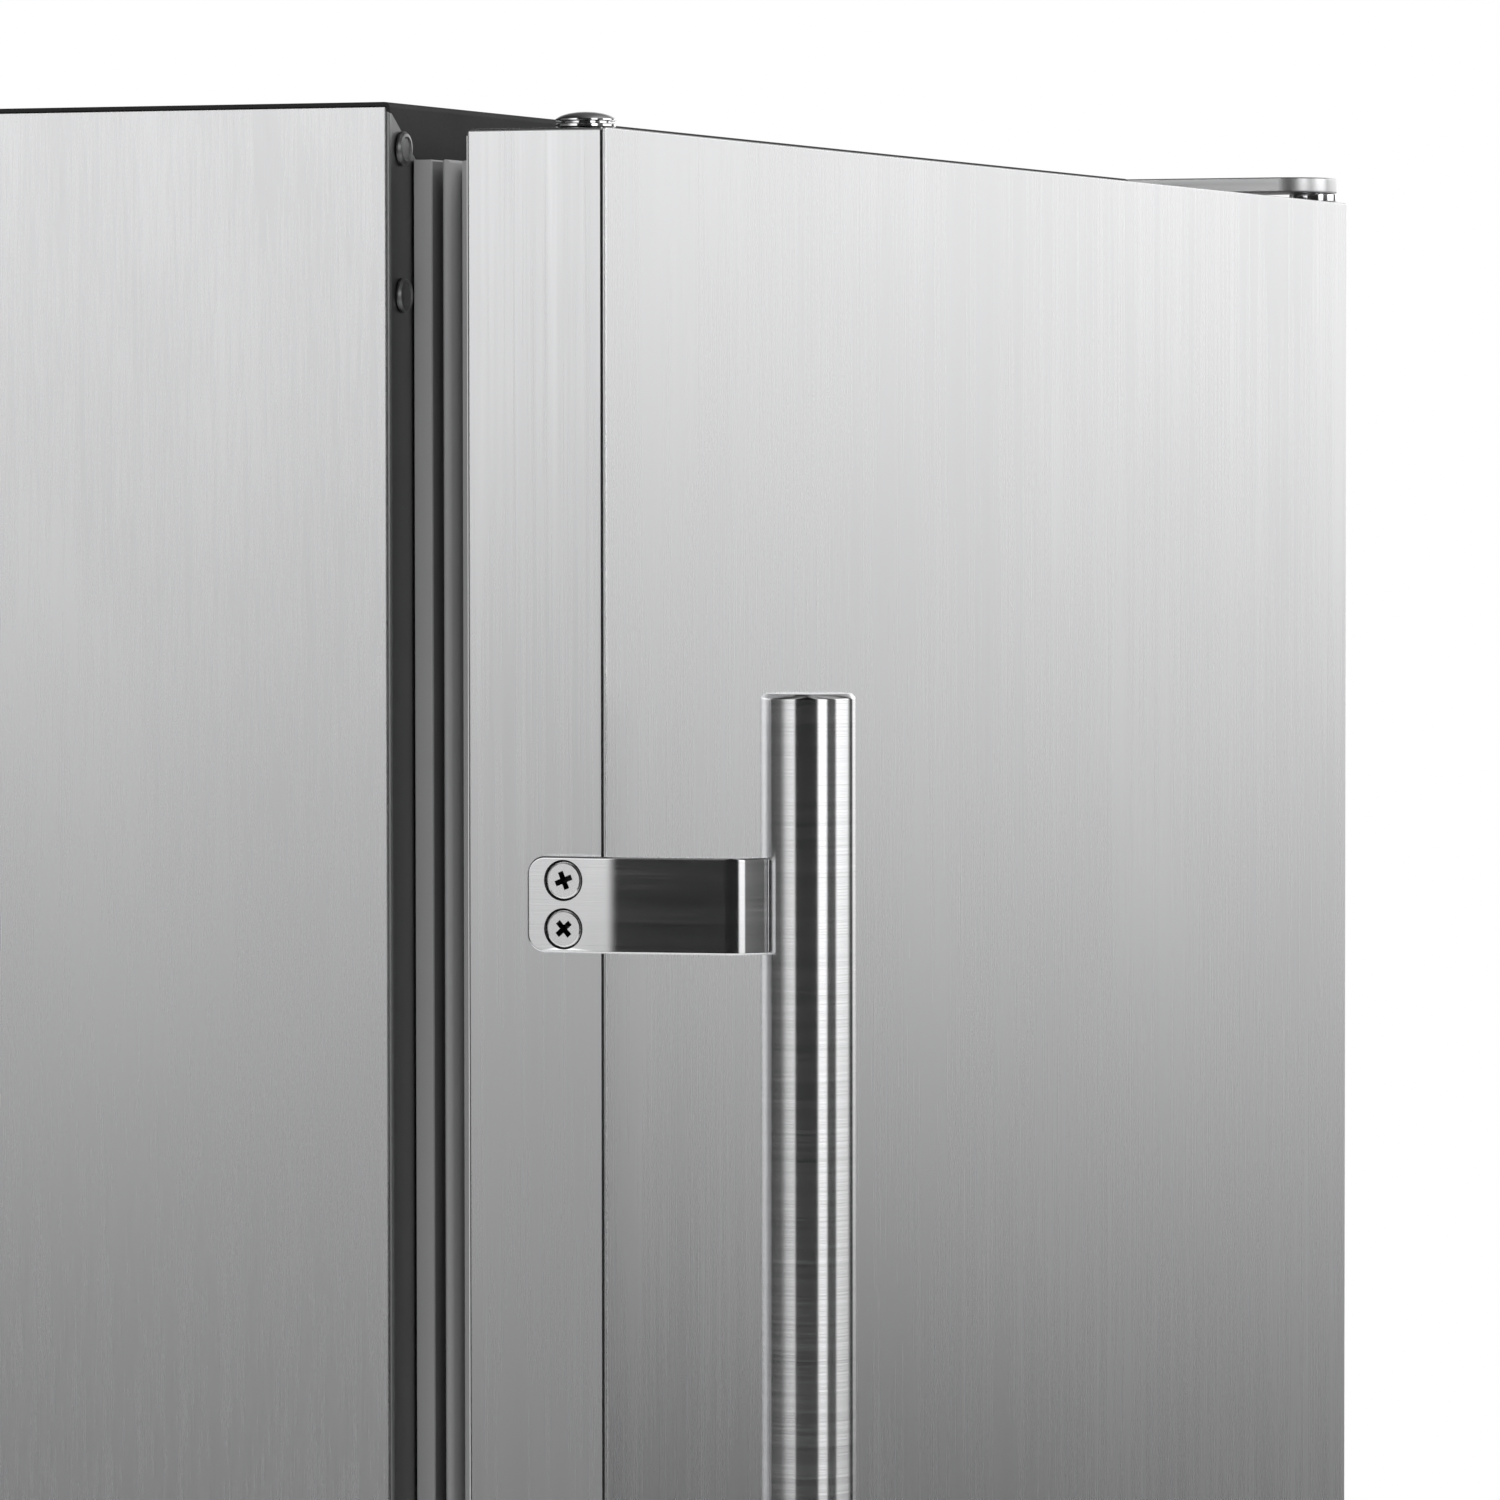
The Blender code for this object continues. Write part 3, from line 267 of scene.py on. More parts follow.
def show(obj, look, replaced=(), beside=None):
    """Gives a piece its look and body. It stands for the replaced nodes, or rides beside one."""
    lead = replaced[0] if replaced else beside
    obj.data.materials.clear()
    obj.data.materials.append(LOOKS[look])
    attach(obj, BODY[lead])
    if replaced:
        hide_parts(*replaced)
    return obj


def second_look(obj, look, test):
    """Gives the faces that the test picks a look of their own."""
    obj.data.materials.append(LOOKS[look])
    for face in obj.data.polygons:
        if test(face):
            face.material_index = 1


def mesh_object(name, bm, recalc=True):
    if recalc:
        bmesh.ops.recalc_face_normals(bm, faces=bm.faces)
    mesh = bpy.data.meshes.new(name)
    bm.to_mesh(mesh)
    bm.free()
    obj = bpy.data.objects.new(name, mesh)
    bpy.context.scene.collection.objects.link(obj)
    return obj


def bevel(obj, width, segments=3, angle=30.0):
    made = obj.modifiers.new("Bevel", "BEVEL")
    made.width = width
    made.segments = segments
    made.limit_method = "ANGLE"
    made.angle_limit = math.radians(angle)
    return obj


def solidify(obj, thickness, offset=-1.0):
    made = obj.modifiers.new("Sheet", "SOLIDIFY")
    made.thickness = thickness
    made.offset = offset
    made.use_even_offset = True
    made.use_quality_normals = True
    return obj


def boolean(obj, cutter, operation="DIFFERENCE"):
    made = obj.modifiers.new(operation, "BOOLEAN")
    made.operation = operation
    made.object = cutter
    return obj


def bake(obj, *helpers, angle=32.0):
    """The piece with its modifiers applied, its round faces smooth and its flat faces truly flat."""
    bpy.context.view_layer.update()
    graph = bpy.context.evaluated_depsgraph_get()
    mesh = bpy.data.meshes.new_from_object(obj.evaluated_get(graph))
    obj.modifiers.clear()
    obj.data = mesh
    mesh.shade_smooth()
    mesh.set_sharp_from_angle(angle=math.radians(angle))
    normals = obj.modifiers.new("Normals", "WEIGHTED_NORMAL")
    normals.keep_sharp = True
    for helper in helpers:
        bpy.data.objects.remove(helper)
    return obj


def rounded(name, width, look, segments=2, angle=30.0):
    """A copy of a CAD solid whose edges have the small radius that bending and finishing leave."""
    bm = bmesh.new()
    bm.from_mesh(NODES[name].data)
    bmesh.ops.remove_doubles(bm, verts=bm.verts, dist=MERGE)
    bmesh.ops.dissolve_limit(bm, angle_limit=math.radians(0.5), verts=bm.verts, edges=bm.edges)
    obj = mesh_object(name + "_finish", bm)
    bevel(obj, width, segments, angle)
    return show(bake(obj), look, [name])


def turned(name, profile, centre, axis="Z", steps=64):
    """A turned piece. Its profile's (radius, height) pairs run down the outer side, from axis to axis."""
    bm = bmesh.new()
    verts = [bm.verts.new((radius, 0, height)) for radius, height in profile]
    edges = [bm.edges.new(pair) for pair in zip(verts, verts[1:])]
    bmesh.ops.spin(bm, geom=verts + edges, cent=(0, 0, 0), axis=(0, 0, 1), angle=math.tau, steps=steps,
                   use_merge=True)
    bmesh.ops.remove_doubles(bm, verts=bm.verts, dist=MERGE)
    bmesh.ops.transform(bm, matrix=Matrix.Translation(centre) @ TURNS[axis], verts=bm.verts)
    return bake(mesh_object(name, bm))


def arc(centre, radius, start, end, steps):
    """Points of an arc, angles in degrees counted from the first coordinate towards the second."""
    angles = [math.radians(start + (end - start) * i / steps) for i in range(steps + 1)]
    return [(centre[0] + radius * math.cos(a), centre[1] + radius * math.sin(a)) for a in angles]


def ribbon(bm, columns):
    """Quads between columns of points, one column per place along the sheet."""
    rows = [[bm.verts.new(point) for point in column] for column in columns]
    for left, right in zip(rows, rows[1:]):
        for i in range(len(left) - 1):
            bm.faces.new((left[i], right[i], right[i + 1], left[i + 1]))
    return rows


def wires(name, routes, radius, look, beside=None, replaced=(), resolution=3):
    """Round wires along lists of points, one spline each."""
    curve = bpy.data.curves.new(name, "CURVE")
    curve.dimensions = "3D"
    curve.bevel_depth = radius
    curve.bevel_resolution = resolution
    curve.use_fill_caps = True
    for route in routes:
        spline = curve.splines.new("POLY")
        spline.points.add(len(route) - 1)
        for point, place in zip(spline.points, route):
            point.co = (*place, 1)
    obj = bpy.data.objects.new(name, curve)
    bpy.context.scene.collection.objects.link(obj)
    for spline in curve.splines:
        spline.use_smooth = True
    return show(obj, look, list(replaced), beside)


def extruded(name, points, step):
    """A flat outline carried along a step."""
    bm = bmesh.new()
    extrude(bm, points, step)
    return mesh_object(name, bm)


def extrude(bm, points, step):
    face = bm.faces.new([bm.verts.new(point) for point in points])
    grown = bmesh.ops.extrude_face_region(bm, geom=[face])["geom"]
    bmesh.ops.translate(bm, vec=step, verts=[g for g in grown if isinstance(g, bmesh.types.BMVert)])


def block(name, low, high):
    bm = bmesh.new()
    add_block(bm, low, high)
    return mesh_object(name, bm)


def add_block(bm, low, high):
    verts = bmesh.ops.create_cube(bm, size=1.0)["verts"]
    bmesh.ops.scale(bm, vec=Vector(high) - Vector(low), verts=verts)
    bmesh.ops.translate(bm, vec=(Vector(high) + Vector(low)) / 2, verts=verts)


# --- cabinet -----------------------------------------------------------------------------------


def side_panel(name, side):
    """The side sheet with its rounded front bend and the mitred top of its flange."""
    low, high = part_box(name)
    outer = low.x if side < 0 else high.x
    inward = -side
    deep = high.y - low.y
    bend = [(BEND - BEND * math.sin(a), BEND - BEND * math.cos(a)) for a in quarter_turn(8)]
    plan = [(high.x - low.x, 0.0)] + bend + [(0.0, deep), (REAR_LIP, deep)]
    columns = []
    for across, back in plan:
        top = high.z + MITRE_RISE - (across * MITRE_SLOPE if back < BEND else 0.0)
        place = (outer + inward * across, low.y + back)
        columns.append([(*place, low.z), (*place, top)])
    bm = bmesh.new()
    ribbon(bm, columns)
    obj = mesh_object(name + "_finish", bm, recalc=False)
    solidify(obj, SHEET, offset=inward)
    bevel(obj, 0.00025, 2, 50)
    show(bake(obj), "panel_steel", [name])

    # The turned-in flange faces take the dark flange steel: painted shade for the gap behind the door.
    def in_painted_shade_flange(face):
        return abs(face.normal.y) > 0.35 and face.center.y < low.y + 2 * BEND

    second_look(obj, "flange_steel", in_painted_shade_flange)


def top_panel():
    """The painted top sheet, rolled over into its front flange, with a corner let in for the hinge plate."""
    low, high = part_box("top_panel")
    seat_low, seat_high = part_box("hinge_seat")
    notch = seat_low.x - GAP
    deep = seat_high.y + GAP
    tall = high.z - low.z
    roll = [(low.y + BEND - BEND * math.cos(a), high.z - BEND + BEND * math.sin(a)) for a in quarter_turn(8)]
    mitre_end = (low.x + MITRE_END, MITRE_END * MITRE_SLOPE)
    columns = []
    for x, drop in ((low.x, BEND), mitre_end, (low.x + 0.032, tall), (notch, tall)):
        column = [(low.y, high.z - drop - 0.0007)] + roll + [(deep, high.z), (high.y, high.z)]
        columns.append([(x, y, z) for y, z in column])
    bm = bmesh.new()
    ribbon(bm, columns)
    corners = ((notch, deep), (high.x, deep), (high.x, high.y), (notch, high.y))
    bm.faces.new([bm.verts.new((*corner, high.z)) for corner in corners])
    bmesh.ops.remove_doubles(bm, verts=bm.verts, dist=MERGE)
    obj = upward_sheet("top_panel_finish", bm)
    solidify(obj, SHEET)
    bevel(obj, 0.0003, 2, 50)
    return show(bake(obj), "top_paint", ["top_panel"])


def sunk_seat():
    """The pressed corner under the hinge plate, sloping down from the top sheet, with its own front lip."""
    low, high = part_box("hinge_seat")
    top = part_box("top_panel")[1].z
    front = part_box("top_panel")[0].y + 0.0002
    edge = 0.0012
    lip = 0.020
    slope = [(low.x, top - 0.0006), (low.x + 0.004, top - 0.0010)]
    slope += [(low.x + 0.013, high.z - GAP), (high.x, high.z)]
    columns = []
    for x, z in slope:
        columns.append([(x, front, z - lip), (x, front, z - edge), (x, front + edge, z), (x, high.y, z)])
    bm = bmesh.new()
    ribbon(bm, columns)
    obj = upward_sheet("hinge_seat_finish", bm)
    solidify(obj, 0.0009)
    return show(bake(obj), "top_paint", ["hinge_seat"])


def upward_sheet(name, bm):
    """A sheet whose faces look up and out, so that its thickness goes inwards."""
    bmesh.ops.recalc_face_normals(bm, faces=bm.faces)
    if sum(face.normal.z * face.calc_area() for face in bm.faces) < 0:
        bmesh.ops.reverse_faces(bm, faces=bm.faces)
    return mesh_object(name, bm, recalc=False)


def quarter_turn(steps):
    """Angles from 0 to a right angle, in radians."""
    return [math.radians(90 * i / steps) for i in range(steps + 1)]


def inner_liner():
    """The moulded food space with rounded corners."""
    low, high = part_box("inner_liner")
    wall = LINER_SHEET
    floor_points = node_points("inner_liner", lambda p: p.z < low.z + 0.05 and p.y > low.y + 0.1)
    rear_points = node_points("inner_liner", lambda p: p.y > high.y - 0.002)
    step_y = max(point.y for point in floor_points) - wall
    step_z = min(point.z for point in rear_points) + wall
    outline = [
        (low.y, low.z + wall),
        (step_y, low.z + wall),
        (step_y, step_z),
        (high.y - wall, step_z),
        (high.y - wall, high.z - wall),
        (low.y, high.z - wall),
    ]
    bm = bmesh.new()
    extrude(bm, [(low.x + wall, y, z) for y, z in outline], Vector((high.x - low.x - 2 * wall, 0, 0)))
    bmesh.ops.recalc_face_normals(bm, faces=bm.faces)
    mouth = [f for f in bm.faces if f.calc_center_median().y < low.y + 0.001]
    bmesh.ops.delete(bm, geom=mouth, context="FACES")
    obj = mesh_object("inner_liner_finish", bm, recalc=False)
    bevel(obj, 0.010, 4, 30)
    solidify(obj, wall * 0.8, offset=1.0)
    return show(bake(obj), "liner_white", ["inner_liner"])


def node_points(name, test):
    """The corners of a CAD solid that the test picks."""
    return [v.co.copy() for v in NODES[name].data.vertices if test(v.co)]


# --- gasket and door ---------------------------------------------------------------------------


def gasket():
    """The bellows seal, swept round the door: magnet strip against the cabinet, groove, bulge, lip and base.

    Each point is its inset from the gasket's outer edge and its distance from the cabinet.
    """
    low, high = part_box("door_gasket")
    depth = high.y - low.y
    pad = [(0.0003, 0.0), (0.0, 0.0003), (0.0, 0.0044), (0.0004, 0.0047), (0.0090, 0.0050), (0.0090, 0.0068)]
    bulge = [(0.0012, 0.0070), (0.0003, 0.0073), (0.0, 0.0079), (0.0002, 0.0086), (0.0009, 0.0093)]
    bulge += [(0.0020, 0.0101), (0.0036, 0.0108), (0.0070, 0.0112)]
    lip = [(0.0070, 0.0115), (0.0014, 0.0117), (0.0005, 0.0120), (0.0003, 0.0128), (0.0003, 0.0142)]
    lip += [(0.0012, 0.0148), (0.0030, 0.0152), (0.0030, 0.0158), (0.0010, 0.0160), (0.0008, depth)]
    inside = [(0.0006, 1.0), (0.001, 0.6), (0.003, 0.35), (0.001, 0.0)]
    profile = [(inset, depth - back) for inset, back in pad + bulge + lip]
    profile += [(GASKET_WIDTH - inset, depth * share) for inset, share in reversed(inside)]
    corners = [(low.x, low.z, 1, 1), (high.x, low.z, -1, 1), (high.x, high.z, -1, -1), (low.x, high.z, 1, -1)]
    bm = bmesh.new()
    rings = []
    for x, z, side_x, side_z in corners:
        ring = [(x + side_x * inset, low.y + y, z + side_z * inset) for inset, y in profile]
        rings.append([bm.verts.new(point) for point in ring])
    for here, there in zip(rings, rings[1:] + rings[:1]):
        join_rings(bm, there, here)
    obj = mesh_object("door_gasket_finish", bm)
    show(bake(obj, angle=50), "gasket_rubber", ["door_gasket"])

    # The groove faces take the darker rubber: painted shade.
    def in_painted_shade_groove(face):
        place = face.center
        inset = min(place.x - low.x, high.x - place.x, place.z - low.z, high.z - place.z)
        return 0.004 < inset < 0.0095 and low.y + 0.002 < place.y < high.y - 0.002

    second_look(obj, "groove_rubber", in_painted_shade_groove)


def join_rings(bm, here, there):
    """Quads between two closed rings of points."""
    for i in range(len(here)):
        j = (i + 1) % len(here)
        bm.faces.new((here[i], here[j], there[j], there[i]))


def door_skins():
    """Front sheet and edge frame, each with the small radii of folded steel, and a black strip set back in
    the fine seam between them as painted shade.
    """
    rounded("door_front_panel", 0.0004, "door_steel", 3)
    low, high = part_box("door_frame")
    panel_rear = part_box("door_front_panel")[1].y
    inset = 0.0009
    # A black strip set back in the seam gap darkens it: painted shade.
    shade_strip_low = (low.x + inset, panel_rear, low.z + inset)
    shade_strip_high = (high.x - inset, low.y + 0.002, high.z - inset)
    show(bake(block("door_seam_painted_shade", shade_strip_low, shade_strip_high)), "black_plastic", beside="door_frame")
    lip = 0.0007
    roll = [(lip * (1 - math.cos(a)), high.y - lip + lip * math.sin(a)) for a in quarter_turn(5)]
    bm = bmesh.new()
    rim(bm, low, high, 0.0008, [(0.0, low.y + 0.0001)] + roll)
    obj = mesh_object("door_frame_finish", bm, recalc=False)
    solidify(obj, DOOR_SHEET)
    deep = 0.02
    bore = [(0, deep), (BUSH_BORE, deep), (BUSH_BORE, -deep), (0, -deep)]
    cutters = screw_holes()
    for i, place in enumerate(hinge_places()):
        cutters.append(turned(f"pin_bore_{i}", bore, place, "Z", 32))
    for cutter in cutters:
        boolean(obj, cutter)
    show(bake(obj, *cutters), "door_steel", ["door_frame"])


def rim(bm, low, high, corner, sections):
    """A band round a rectangle with round corners. A section is an inset from the rectangle and a depth."""
    rings = []
    for inset, y in sections:
        radius = max(corner - inset, 0.0001)
        x0, x1, z0, z1 = low.x + corner, high.x - corner, low.z + corner, high.z - corner
        outline = []
        for centre, start in (((x1, z0), -90), ((x1, z1), 0), ((x0, z1), 90), ((x0, z0), 180)):
            outline += arc(centre, radius, start, start + 90, 6)
        rings.append([bm.verts.new((x, y, z)) for x, z in outline])
    for here, there in zip(rings, rings[1:]):
        join_rings(bm, here, there)
    bmesh.ops.recalc_face_normals(bm, faces=bm.faces)


def hinge_places():
    """Where the door's bores open: top and bottom of the hinge side, and the spare one at the top."""
    pin = middle("top_hinge_pin")
    cap = middle("hinge_hole_cap")
    low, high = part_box("door_frame")
    return [Vector((pin.x, pin.y, high.z)), Vector((pin.x, pin.y, low.z)), Vector((cap.x, cap.y, high.z))]


def middle(name):
    low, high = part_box(name)
    return (low + high) / 2


def screw_names():
    return sorted(name for name in NODES if name.startswith("handle_screw_"))


def screw_holes():
    """Cutters for the countersunk holes, one for each handle screw."""
    wide = SCREW_HEAD + 0.0001
    narrow = 0.0029
    profile = [(0, 0.004), (wide, 0.004), (wide, -0.0004), (narrow, -0.0025), (narrow, -0.015), (0, -0.015)]
    return [turned(name + "_hole", profile, screw_place(name), "-X", 40) for name in screw_names()]


def screw_place(name):
    """The middle of the screw's outer face."""
    centre = middle(name)
    return Vector((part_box(name)[0].x, centre.y, centre.z))


def door_liner():
    """The dished inner skin with soft corners."""
    low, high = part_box("door_liner")
    flat = 0.036
    slope = 0.009
    base = low.y + 2 * LINER_SHEET - 0.0008
    bm = bmesh.new()
    loops = []
    for inset, y in ((0, base), (flat, base), (flat + slope, high.y)):
        x0, x1, z0, z1 = low.x + inset, high.x - inset, low.z + inset, high.z - inset
        loops.append([bm.verts.new((x, y, z)) for x, z in ((x0, z0), (x1, z0), (x1, z1), (x0, z1))])
    for outer, inner in zip(loops, loops[1:]):
        join_rings(bm, inner, outer)
    bm.faces.new(loops[-1][::-1])
    obj = mesh_object("door_liner_finish", bm, recalc=False)
    bevel(obj, 0.005, 4, 15)
    solidify(obj, 0.0010)
    return show(bake(obj), "liner_white", ["door_liner"])


def handle():
    """The bar, its two straps and their cross-head screws."""
    low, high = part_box("handle_bar")
    radius = (high.x - low.x) / 2
    axis = Vector(((low.x + high.x) / 2, (low.y + high.y) / 2, 0))
    chamfer = 0.0009
    ease = 0.0004
    slight = 0.0001
    end = [(0, 0), (chamfer + ease, 0), (chamfer, slight), (slight, chamfer), (0, chamfer + ease)]
    upper = [(0, high.z)] + [(radius - inset, high.z - drop) for inset, drop in end[1:]]
    lower = [(radius - inset, low.z + rise) for inset, rise in reversed(end[1:])] + [(0, low.z)]
    profile = upper + lower
    show(turned("handle_bar_finish", profile, axis, "Z", 128), "bar_steel", ["handle_bar"])
    for level in ("top", "bottom"):
        strap(f"handle_bracket_{level}", axis, radius)
    for name in screw_names():
        cross_screw(name)


def rounded_path(points, radii, steps=10):
    """The points with each inner corner replaced by an arc of its own radius."""
    made = [Vector(points[0])]
    for before, corner, after, radius in zip(points, points[1:], points[2:], radii):
        corner = Vector(corner)
        to_before = (Vector(before) - corner).normalized()
        to_after = (Vector(after) - corner).normalized()
        half = to_before.angle(to_after) / 2
        centre = corner + (to_before + to_after).normalized() * (radius / math.sin(half))
        start = corner + to_before * (radius / math.tan(half)) - centre
        end = corner + to_after * (radius / math.tan(half)) - centre
        sweep = start.angle_signed(end)
        for i in range(steps + 1):
            made.append(centre + Matrix.Rotation(-sweep * i / steps, 2) @ start)
    made.append(Vector(points[-1]))
    return made


def strap(name, axis, radius):
    """A strap from the door's edge forwards, leaning inwards, its end turned in to the bar."""
    low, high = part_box(name)
    outer = low.x + STRAP_SHEET / 2 + 0.0001
    door_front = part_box("door_front_panel")[0].y
    towards = Vector((-1, 1)).normalized()
    touch = Vector((axis.x, axis.y)) + towards * (radius - 0.0001)
    elbow = touch + towards * 0.0075
    route = [(outer, high.y), (outer, door_front - 0.001), tuple(elbow), tuple(touch)]
    bm = bmesh.new()
    ribbon(bm, [[(p.x, p.y, low.z), (p.x, p.y, high.z)] for p in rounded_path(route, (0.045, 0.006))])
    obj = mesh_object(name + "_finish", bm, recalc=False)
    solidify(obj, STRAP_SHEET, offset=0)
    corner = 0.0042
    clear = 0.01
    outline = arc((high.y - corner, low.z + corner), corner, -90, 0, 10)
    outline += arc((high.y - corner, high.z - corner), corner, 0, 90, 10)
    outline += [(low.y - clear, high.z + 0.001), (low.y - clear, low.z - 0.001)]
    blank = extruded(name + "_blank", [(low.x - clear, y, z) for y, z in outline], Vector((0.06, 0, 0)))
    boolean(obj, blank, "INTERSECT")
    bevel(obj, 0.0006, 4, 40).modifiers["Bevel"].use_clamp_overlap = False
    holes = screw_holes()
    for hole in holes:
        boolean(obj, hole)
    show(bake(obj, blank, *holes, angle=28), "strap_steel", [name])


def cross_screw(name):
    """A countersunk screw with a cross recess, whose inside is near-black as painted shade."""
    place = screw_place(name)
    head = SCREW_HEAD - 0.0004
    stem = 0.0024
    end = -0.0115
    profile = [(0, 0.0), (head - 0.0004, 0.0), (head - 0.0001, -0.0001), (head, -0.0003)]
    profile += [(stem, -0.0026), (stem, end), (0, end)]
    obj = turned(name + "_finish", profile, place, "-X", 56)
    reach = 0.0025
    thick = 0.00075
    deep = 0.0026
    taper = 0.45
    quarter = [(reach, thick), (thick, thick), (thick, reach)]
    outline = quarter + [(-y, z) for y, z in reversed(quarter)]
    outline += [(-y, -z) for y, z in outline]
    turn = Matrix.Rotation(math.radians(CROSS_TURN[name]), 2)
    outline = [turn @ Vector(point) for point in outline]
    bm = bmesh.new()
    mouth = [bm.verts.new((place.x - 0.001, place.y + p.x, place.z + p.y)) for p in outline]
    foot = [bm.verts.new((place.x + deep, place.y + p.x * taper, place.z + p.y * taper)) for p in outline]
    bm.faces.new(mouth)
    bm.faces.new(foot)
    join_rings(bm, mouth, foot)
    recess = mesh_object(name + "_recess", bm)
    boolean(obj, recess)
    show(bake(obj, recess), "screw_steel", [name])
    for face in obj.data.polygons:
        face.use_smooth = abs(face.normal.x) < 0.99

    # The faces inside the cross recess take the near-black look: painted shade.
    def in_painted_shade_recess(face):
        away = face.center - place
        return 0.0002 < away.x < deep + 0.001 and math.hypot(away.y, away.z) < reach

    second_look(obj, "recess_dark", in_painted_shade_recess)


def small_fittings():
    centre = middle("hinge_hole_cap")
    place = Vector((centre.x, centre.y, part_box("door_frame")[1].z))
    dome = [(0, 0.0038), (0.0020, 0.0037), (0.0040, 0.0034), (0.0056, 0.0029), (0.0065, 0.0024)]
    dome += [(0.0069, 0.0021), (0.0069, 0.0018), (0.0066, 0.0016)]
    washer = [(0.0056, 0.0015), (0.0056, 0.0012), (0.0066, 0.0011), (0.0069, 0.0009), (0.0069, 0.0004)]
    washer += [(0.0066, 0.0002), (0.0054, 0.0001)]
    stem = [(0.0050, -0.010), (0, -0.010)]
    show(turned("hinge_hole_cap_finish", dome + washer + stem, place, "Z", 72), "chrome", ["hinge_hole_cap"])
    plug = [(0, 0.0008), (0.0024, 0.0008), (0.0028, 0.0011), (0.0035, 0.0010)]
    plug += [(0.0040, 0.0005), (0.0040, 0), (0, 0)]
    for name in ("flange_plug_upper", "flange_plug_lower"):
        centre = middle(name)
        place = Vector((centre.x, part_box(name)[1].y, centre.z))
        # The plugs take the dark flange steel too: painted shade.
        show(turned(name + "_finish", plug, place, "-Y", 48), "flange_steel", [name])
    for name in ("top_hinge_bracket", "bottom_hinge_bracket"):
        rounded(name, 0.0006, "satin_steel", 3, 40)
    plate_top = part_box("top_hinge_bracket")[1].z
    hinge_pin("top_hinge_pin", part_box("top_hinge_pin")[0].z, plate_top + 0.0001)
    hinge_pin("bottom_hinge_pin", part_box("bottom_hinge_pin")[0].z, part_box("bottom_hinge_pin")[1].z)
    for name in ("hinge_bush_top", "hinge_bush_bottom"):
        rounded(name, 0.0002, "chrome", 2)


def hinge_pin(name, low_z, high_z):
    centre = middle(name)
    edge = 0.0005
    profile = [
        (0, high_z),
        (HINGE_RADIUS - edge, high_z),
        (HINGE_RADIUS, high_z - edge),
        (HINGE_RADIUS, low_z + edge),
        (HINGE_RADIUS - edge, low_z),
        (0, low_z),
    ]
    show(turned(name + "_finish", profile, (centre.x, centre.y, 0), "Z", 48), "chrome", [name])


# --- inside ------------------------------------------------------------------------------------


def wire_shelf(name):
    """A rack: a rounded border wire, cross wires, and close wires whose front and rear ends bend down."""
    low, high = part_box(name)
    border = 0.0028
    thin = 0.0014
    cross_wire = border * 0.7
    corner = 0.012
    level = low.z + border
    top = level + cross_wire
    x0, x1, y0, y1 = low.x + border, high.x - border, low.y + border, high.y - border
    left, right, front, rear = x0 + corner, x1 - corner, y0 + corner, y1 - corner
    centres = ((right, front), (right, rear), (left, rear), (left, front))
    loop = []
    for i, centre in enumerate(centres):
        start = 90 * i - 90
        loop += [(x, y, level) for x, y in arc(centre, corner, start, start + 90, 6)]
    loop.append(loop[0])
    routes = []
    for y in between(y0, y1, 4):
        routes.append([(x0, y, level - 0.0006), (x1, y, level - 0.0006)])
    wires(name + "_cross_wires", routes, cross_wire, "wire_steel", beside=name)
    wires(name + "_border", [loop], border, "wire_steel", replaced=[name], resolution=4)
    routes = []
    for x in between(x0, x1, 24):
        front_end = (x, y0 - 0.0008, level + 0.0004)
        rear_end = (x, y1 + 0.0006, level + 0.0004)
        routes.append([front_end, (x, y0 + 0.004, top), (x, y1 - 0.004, top), rear_end])
    wires(name + "_wires", routes, thin, "wire_steel", beside=name)


def between(low, high, count):
    """The places that part a length into a count of equal stretches."""
    return [low + (high - low) * i / count for i in range(1, count)]


def control_panel():
    rounded("control_housing", 0.0012, "liner_white", 3)
    dial()
    rounded("light_rocker", 0.0005, "black_plastic", 2)
    rounded("light_lens", 0.0010, "lens_clear", 2)


